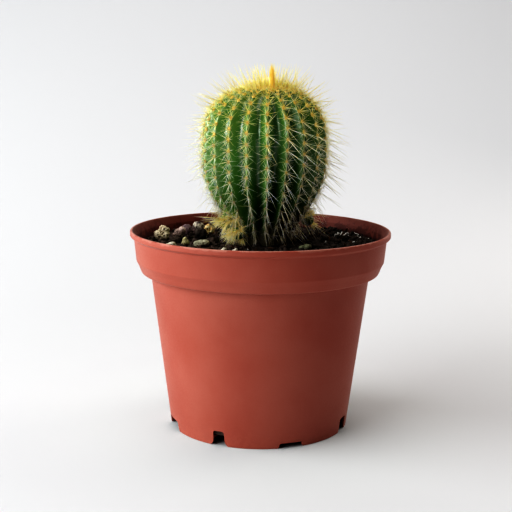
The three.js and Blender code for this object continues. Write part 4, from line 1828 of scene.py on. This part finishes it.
@dataclass
class Cactus:
    """The plant: ribbed stem, offsets, wool and spines."""

    size: StemSize = field(default_factory=StemSize)
    columns_per_rib: int = 16
    rows: int = 250
    seed: int = 7
    offsets: tuple[Offset, ...] = (
        Offset((-15.4, -8.9, 96.5), 4.4, (-0.15, -0.30, -0.6),
               400, (2.6, 5.8), 26, (8.0, 13.0), (-1.0, 0.0, 0.08)),
        Offset((-10.0, -12.2, 91.4), 3.7, (-0.05, -0.30, -0.6),
               430, (3.4, 7.5), 60, (5.0, 9.0), (-0.2, -0.3, -1.0)),
        Offset((-11.8, -10.4, 96.0), 4.8, (-0.10, -0.45, -0.8),
               260, (3.0, 6.5), 80, (5.0, 9.5), (-0.15, -0.3, -1.0), head=False),
        Offset((21.6, 0.5, 96.3), 3.9, (0.30, -0.20, 0.15),
               300, (2.4, 4.4), 16, (8.0, 13.0), (0.8, -0.2, -0.35)),
    )
    crown_spines: int = 170
    crown_spread: float = 12 * MM
    tuft_spines: int = 44
    tuft_radius: float = 1.3 * MM
    tuft_forward: float = 8.5 * MM
    tuft_top: float = 167.2 * MM
    tuft_sink: float = 3.6 * MM
    tuft_thickness: float = 0.26 * MM
    hairs: int = 22
    offset_ribs: int = 9

    def __post_init__(self) -> None:
        """Prepare the stem's surface and the random source."""
        self.stem = Stem(self.size)
        self.rng = np.random.default_rng(self.seed)

    def build(self) -> None:
        """Build the flesh, then everything that grows out of it."""
        flesh = FleshFinish().build()
        spine = SpineFinish().build()
        wool = SpineFinish(
            "areole_wool", roughness=0.9, old=(0.650, 0.548, 0.308), gold=(0.950, 0.741, 0.267),
            root=(0.723, 0.502, 0.166), glow=0.0, painted_glow=0.04).build()
        self.build_stem(flesh)
        self.build_offsets(flesh)
        arc, angle = self.stem.areoles()
        self.build_pads(arc, angle, wool)
        for style in STYLES:
            grown = arc >= style.begin
            spots = [np.repeat(part[grown], style.count) for part in (arc, angle)]
            Thorns(self.stem, style, *spots, self.rng).build(spine)
        self.build_crown(spine)
        self.build_offset_spines(spine)

    def build_stem(self, flesh: bpy.types.Material) -> None:
        """The stem's skin from the apex to the collar, then the root tapering into the soil.

        Args:
            flesh: The skin's finish.
        """
        size, stem = self.size, self.stem
        columns = size.ribs * self.columns_per_rib
        angle = size.turn + TURN * np.arange(columns) / columns
        arc = np.linspace(0, stem.length, self.rows + 1)[1:]
        rings, across = stem.surface(arc[:, None] + 0 * angle, angle + 0 * arc[:, None])
        down = np.linspace(0, 1, 13)[1:]
        drop = size.soil - down * size.root_length
        root_r = np.interp(down, [0, 0.2, 0.6, 1],
                           [size.collar, size.collar, 0.55 * size.collar, size.root_tip])
        root = ring_place(root_r[:, None], stem.bunched(angle), drop[:, None])
        root[..., 0] += size.centre_x
        apex = rings[0].mean(axis=0)
        tip = np.array([size.centre_x, 0, size.soil - size.root_length])
        shape = skin(np.concatenate([rings, root]), apex, tip)
        marks = np.concatenate([across.ravel(), np.ones(root[..., 0].size), [0.5], [1.0]])
        rise = (shape.corners[:, 2] - size.soil) / (size.top - size.soil)
        # Painted shade over the right side of the stem; it also carries the brown foot and the low shade
        # higher there.
        side_shade = smooth_ramp(shape.corners[:, 0], -9 * MM, 15 * MM)
        rise = rise - 0.16 * side_shade * (1 - smooth_ramp(rise, 0.6, 0.9))
        shape.marks = {"across": marks, "rise": np.clip(rise, 0, 1), "side_shade": side_shade}
        settle(make_object("cactus_skin", shape, flesh), "cactus_flesh", "cactus")

    def build_offsets(self, flesh: bpy.types.Material) -> None:
        """Small ribbed heads: a ball whose radius dips between its ribs, with a point at each end.

        Args:
            flesh: The skin's finish.
        """
        polar = np.linspace(0, math.pi, 34)[1:-1, None]
        angle = TURN * np.arange(72)[None] / 72
        turns = angle * self.offset_ribs / TURN
        across = 2 * np.abs(turns - np.round(turns)) + 0 * polar
        heads = []
        for offset in (offset for offset in self.offsets if offset.head):
            middle = MM * np.array(offset.middle)
            radius = MM * offset.radius
            reach = 0.78 * radius * (1 - 0.16 * across * np.sin(polar))
            rings = middle + ring_place(reach * np.sin(polar), angle, reach * np.cos(polar))
            pole = np.array([0, 0, radius])
            head = skin(rings, middle + pole, middle - pole)
            head.marks = {
                "across": np.concatenate([across.ravel(), [0.5, 0.5]]),
                "rise": np.full(len(head.corners), 0.9),
                # A little of the painted side shade on the offsets too.
                "side_shade": np.full(len(head.corners), 0.3),
            }
            heads.append(head)
        settle(make_object("offset_heads", joined(heads), flesh), "cactus_flesh", "cactus")

    def build_pads(self, arc: Array, angle: Array, wool: bpy.types.Material) -> None:
        """A woolly pad on every areole: a flat lump with short hairs standing out at all angles.

        Args:
            arc: Length from the apex of each areole.
            angle: Angle of each areole.
            wool: The wool's finish.
        """
        rng, count = self.rng, len(arc)
        places, _ = self.stem.surface(arc, angle)
        out, up, side = self.stem.directions(arc, angle)
        young = 1 - smooth_ramp(arc, 20 * MM, 75 * MM)
        size = MM * (0.58 + 0.24 * young) * rng.uniform(0.8, 1.15, count)
        base, faces = ball(2)
        bumps = 1 + 0.25 * soft_noise(base[None] + rng.uniform(-9, 9, (count, 1, 3)), 0.6, 2)
        local = base[None] * bumps[..., None] * size[:, None, None]
        corners = (places[:, None] + local[..., 0:1] * 0.8 * side[:, None]
                   + local[..., 1:2] * 1.15 * up[:, None] + local[..., 2:3] * 0.6 * out[:, None])
        dusty = smooth_ramp(arc, 55 * MM, 84 * MM)
        pads = copies(corners, faces, {"gold": young, "along": np.full(count, 0.5), "dusty": dusty})
        total = count * self.hairs
        owner = np.repeat(np.arange(count), self.hairs)
        spread = rng.uniform(-1, 1, (total, 2))
        ways = unit(out[owner] * rng.uniform(0.35, 1.0, (total, 1)) + spread[:, :1] * side[owner]
                    + spread[:, 1:] * up[owner])
        roots = places[owner] + 0.45 * size[owner, None] * ways
        lengths = MM * rng.uniform(0.5, 1.2, total) * (0.8 + 0.5 * young[owner])
        sags = 0.25 * rng.normal(size=(total, 3))
        hairs = spikes(roots, ways, sags, lengths, np.full(total, 0.055 * MM), 3, 1,
                       {"gold": young[owner], "dusty": dusty[owner]})
        settle(make_object("areole_wool", joined([pads, hairs]), wool), "cactus_spines")

    def build_crown(self, spine: bpy.types.Material) -> None:
        """Upright golden spines over the crown, spread by the golden angle, and the pointed tuft.

        Args:
            spine: The finish.
        """
        rng, total = self.rng, self.crown_spines
        share, angle = golden_spiral(total)
        roots, _ = self.stem.surface(share * self.crown_spread, angle)
        ways = ring_place(0.75 * share**1.4, angle, 1.0)
        ways = unit(ways + 0.16 * rng.normal(size=ways.shape))
        long = rng.uniform(0, 1, total) < 0.15
        lengths = MM * np.where(long, rng.uniform(8.5, 12.0, total), rng.uniform(3.6, 6.2, total))
        lengths = np.minimum(lengths, (self.size.highest - roots[:, 2]) / ways[:, 2])
        sags = 0.05 * rng.normal(size=ways.shape)
        sags[:, 2] = -np.abs(sags[:, 2])
        radii = MM * rng.uniform(0.085, 0.13, total)
        gold = np.clip(0.9 + 0.12 * rng.normal(size=total), 0, 1)
        marks = {"gold": gold, "warm": rng.uniform(0, 0.6, total) ** 2, "dusty": np.where(long, 0.75, 0.0)}
        crown = spikes(roots, ways, sags, lengths, radii, 3, 3, marks)
        settle(make_object("crown_spines", joined([crown, self.tuft()]), spine), "cactus_spines")

    def tuft(self) -> Shape:
        """The tight tuft at the growing point, whose outer spines are shorter, so that it is pointed.

        Returns:
            One shape with all its spines.
        """
        size, rng, total = self.size, self.rng, self.tuft_spines
        share, angle = golden_spiral(total)
        middle = np.array([size.centre_x + size.apex_shift, -self.tuft_forward, size.top - self.tuft_sink])
        roots = middle + ring_place(self.tuft_radius * share, angle, 0.0)
        ways = unit(ring_place(-0.025, angle, 1.0) + 0.02 * rng.normal(size=(total, 3)))
        lengths = (self.tuft_top - roots[:, 2]) * (1 - 0.30 * share**4) / ways[:, 2]
        marks = {"gold": np.ones(total), "warm": rng.uniform(0.35, 0.85, total), "dusty": np.zeros(total)}
        radii = np.full(total, self.tuft_thickness)
        return spikes(roots, ways, np.zeros_like(ways), lengths, radii, 5, 4, marks)

    def offset_bunch(self, offset: Offset) -> Shape:
        """Short spines all over an offset, spread by the golden angle, and long strands on one side.

        Args:
            offset: The offset.

        Returns:
            One shape with all its spines.
        """
        rng, total = self.rng, offset.spines + offset.strands
        number = np.arange(total)
        strand = number >= offset.spines
        lift = 1 - 1.8 * ((number * GOLDEN_SHARE) % 1.0)
        around = np.sqrt(1 - lift * lift)
        turn = number * GOLDEN_ANGLE
        out = np.stack([around * np.cos(turn), around * np.sin(turn), lift], axis=-1)
        roots = MM * np.array(offset.middle) + 0.74 * MM * offset.radius * out
        short = 0.8 * out + 0.38 * rng.normal(size=out.shape) + np.array(offset.lean)
        long = 0.35 * out + 0.10 * rng.normal(size=out.shape) + np.array(offset.strand_way)
        ways = unit(np.where(strand[:, None], long, short))
        strands, thorns = (rng.uniform(*span, total) for span in (offset.strand_lengths, offset.lengths))
        drop = (roots[:, 2] - self.size.soil - self.size.soil_gap) / np.maximum(-ways[:, 2], 0.02)
        lengths = np.minimum(MM * np.where(strand, strands, thorns), drop)
        away = (roots[:, 0] - self.size.centre_x) * ways[:, 0] + roots[:, 1] * ways[:, 1] > -3 * MM
        kept = away & (lengths > 1.2 * MM) & (np.einsum("ij,ij->i", ways, out) > -0.1)
        gold = np.clip(np.where(strand, 0.42, 0.55) + 0.28 * rng.normal(size=total), 0, 1)
        marks = {"gold": gold[kept], "warm": (rng.uniform(0.1, 0.5, total) * gold)[kept],
                 "dusty": rng.uniform(0, 0.7, total)[kept] ** 2}
        sags = 0.04 * rng.normal(size=out.shape) + np.array([0, 0, -0.05])
        radii = np.full(kept.sum(), 0.13 * MM)
        return spikes(roots[kept], ways[kept], sags[kept], lengths[kept], radii, 3, 3, marks)

    def build_offset_spines(self, spine: bpy.types.Material) -> None:
        """The spines and strands of every offset."""
        shape = joined([self.offset_bunch(offset) for offset in self.offsets])
        settle(make_object("offset_spines", shape, spine), "cactus_spines")


@dataclass(frozen=True)
class Lamp:
    """A soft oblong light: where it is, what it points at, its width, height, power and colour."""

    name: str
    place: tuple[float, float, float]
    aim: tuple[float, float, float]
    width: float
    height: float
    power: float
    colour: Colour = (1.0, 1.0, 1.0)

    def build(self) -> None:
        """Make the light and turn it to its aim."""
        data = bpy.data.lights.new(self.name, "AREA")
        data.energy = self.power
        data.shape = "RECTANGLE"
        data.size = self.width
        data.size_y = self.height
        data.color = self.colour
        lamp = bpy.data.objects.new(self.name, data)
        lamp.location = self.place
        lamp.rotation_euler = (Vector(self.aim) - Vector(self.place)).to_track_quat("-Z", "Y").to_euler()
        bpy.context.scene.collection.objects.link(lamp)


@dataclass
class Studio:
    """Plain pale floor and backdrop, a window-like key light from the left, and the camera."""

    camera_place: tuple[float, float, float] = (-1.97 * MM, -474 * MM, 165.3 * MM)
    camera_down: float = 10.34
    camera_roll: float = 0.52
    lens: float = 72.8
    sky: float = 0.06
    backdrop: float = 0.80
    gamma: float = 0.77
    toe: float = 0.18
    bend_start: float = 0.20
    bend_radius: float = 1.3
    bend_turn: float = 55
    front_end: float = -1.6
    left_end: float = -1.0
    right_end: float = 0.75
    straight: float = 2.0
    floor_gap: float = 0.02 * MM
    lamps: tuple[Lamp, ...] = (
        Lamp("key", (-1.06, -0.36, 0.50), (0.0, 0.0, 0.08), 1.85, 0.75, 25.2, (0.965, 1.0, 1.0)),
        Lamp("ceiling", (0.05, 0.12, 1.3), (0.0, 0.0, 0.0), 1.6, 1.6, 14.4, (1.0, 0.965, 0.915)),
        Lamp("fill", (0.62, 0.30, 0.24), (0.15, -0.25, 0.05), 0.4, 0.35, 1.15, (1.0, 0.93, 0.85)),
        Lamp("backdrop_wash", (0.35, 0.14, 0.95), (0.35, 1.6, 0.75), 0.9, 0.9, 2.1),
    )

    def build(self) -> None:
        """Set up the stage, the lights, the sky, the tones and the camera."""
        self.build_stage()
        for lamp in self.lamps:
            lamp.build()
        self.build_sky()
        self.set_tones()
        self.build_camera()

    def build_sky(self) -> None:
        """A dim white sky that lights the scene, and that looks brighter where it is seen directly."""
        world = bpy.data.worlds.new("sky")
        world.use_nodes = True
        graph = Graph(world.node_tree)
        direct = graph.add("LightPath").outputs["Is Camera Ray"]
        strength = graph.value("MAXIMUM", graph.value("MULTIPLY", direct, self.backdrop), self.sky)
        graph.fill(world.node_tree.nodes["Background"], {"Strength": strength, "Color": (1, 1, 1, 1)})
        bpy.context.scene.world = world

    def set_tones(self) -> None:
        """A photograph's contrast: x becomes x * x * (1 + toe) / (x + toe), so that shadows go dark."""
        view = bpy.context.scene.view_settings
        view.view_transform = "Standard"
        view.gamma = self.gamma
        view.use_curve_mapping = True
        mapping = view.curve_mapping
        points = mapping.curves[3].points
        for light in (0.03, 0.07, 0.14, 0.25, 0.4, 0.6, 0.8):
            points.new(light, light * light * (1 + self.toe) / (light + self.toe))
        mapping.update()

    def build_stage(self) -> None:
        """A sheet that lies flat under the pot, bends up along an arc behind it and goes on straight."""
        turn = math.radians(self.bend_turn)
        bend = np.linspace(0, turn, 40)
        y = self.bend_start + self.bend_radius * np.sin(bend)
        z = self.bend_radius * (1 - np.cos(bend))
        y = np.concatenate([[self.front_end], y, [y[-1] + self.straight * math.cos(turn)]])
        z = np.concatenate([[0.0], z, [z[-1] + self.straight * math.sin(turn)]])
        x = np.array([self.left_end, self.right_end])
        sheet = np.stack([x[:, None] + 0 * y, y + 0 * x[:, None], z + 0 * x[:, None]], axis=-1)
        rows = len(y)
        j = np.arange(rows - 1)
        faces = np.stack([j, j + rows, j + rows + 1, j + 1], axis=-1)
        shape = Shape(sheet.reshape(-1, 3) - np.array([0, 0, self.floor_gap]), [faces])
        make_object("floor_and_backdrop", shape, StageFinish().build())

    def build_camera(self) -> None:
        """Place the camera: level first, then pitched down, then rolled about its own axis."""
        data = bpy.data.cameras.new("view")
        data.lens = self.lens
        data.sensor_width = 36.0
        data.clip_start = 0.01
        camera = bpy.data.objects.new("view", data)
        pitch = Matrix.Rotation(math.radians(90 - self.camera_down), 4, "X")
        roll = Matrix.Rotation(math.radians(self.camera_roll), 4, "Z")
        camera.rotation_euler = (pitch @ roll).to_euler()
        camera.location = self.camera_place
        bpy.context.scene.collection.objects.link(camera)
        bpy.context.scene.camera = camera


def main() -> None:
    """Build the studio, the pot, the soil, the stones and the cactus, and note the sizes."""
    Studio().build()
    Pot().build()
    SoilBed().build()
    finishes = {kind: kind.value.build() for kind in StoneKind}
    for stone in STONES:
        stone.build(finishes[stone.kind])
    Cactus().build()


if __name__ == "__main__":
    main()
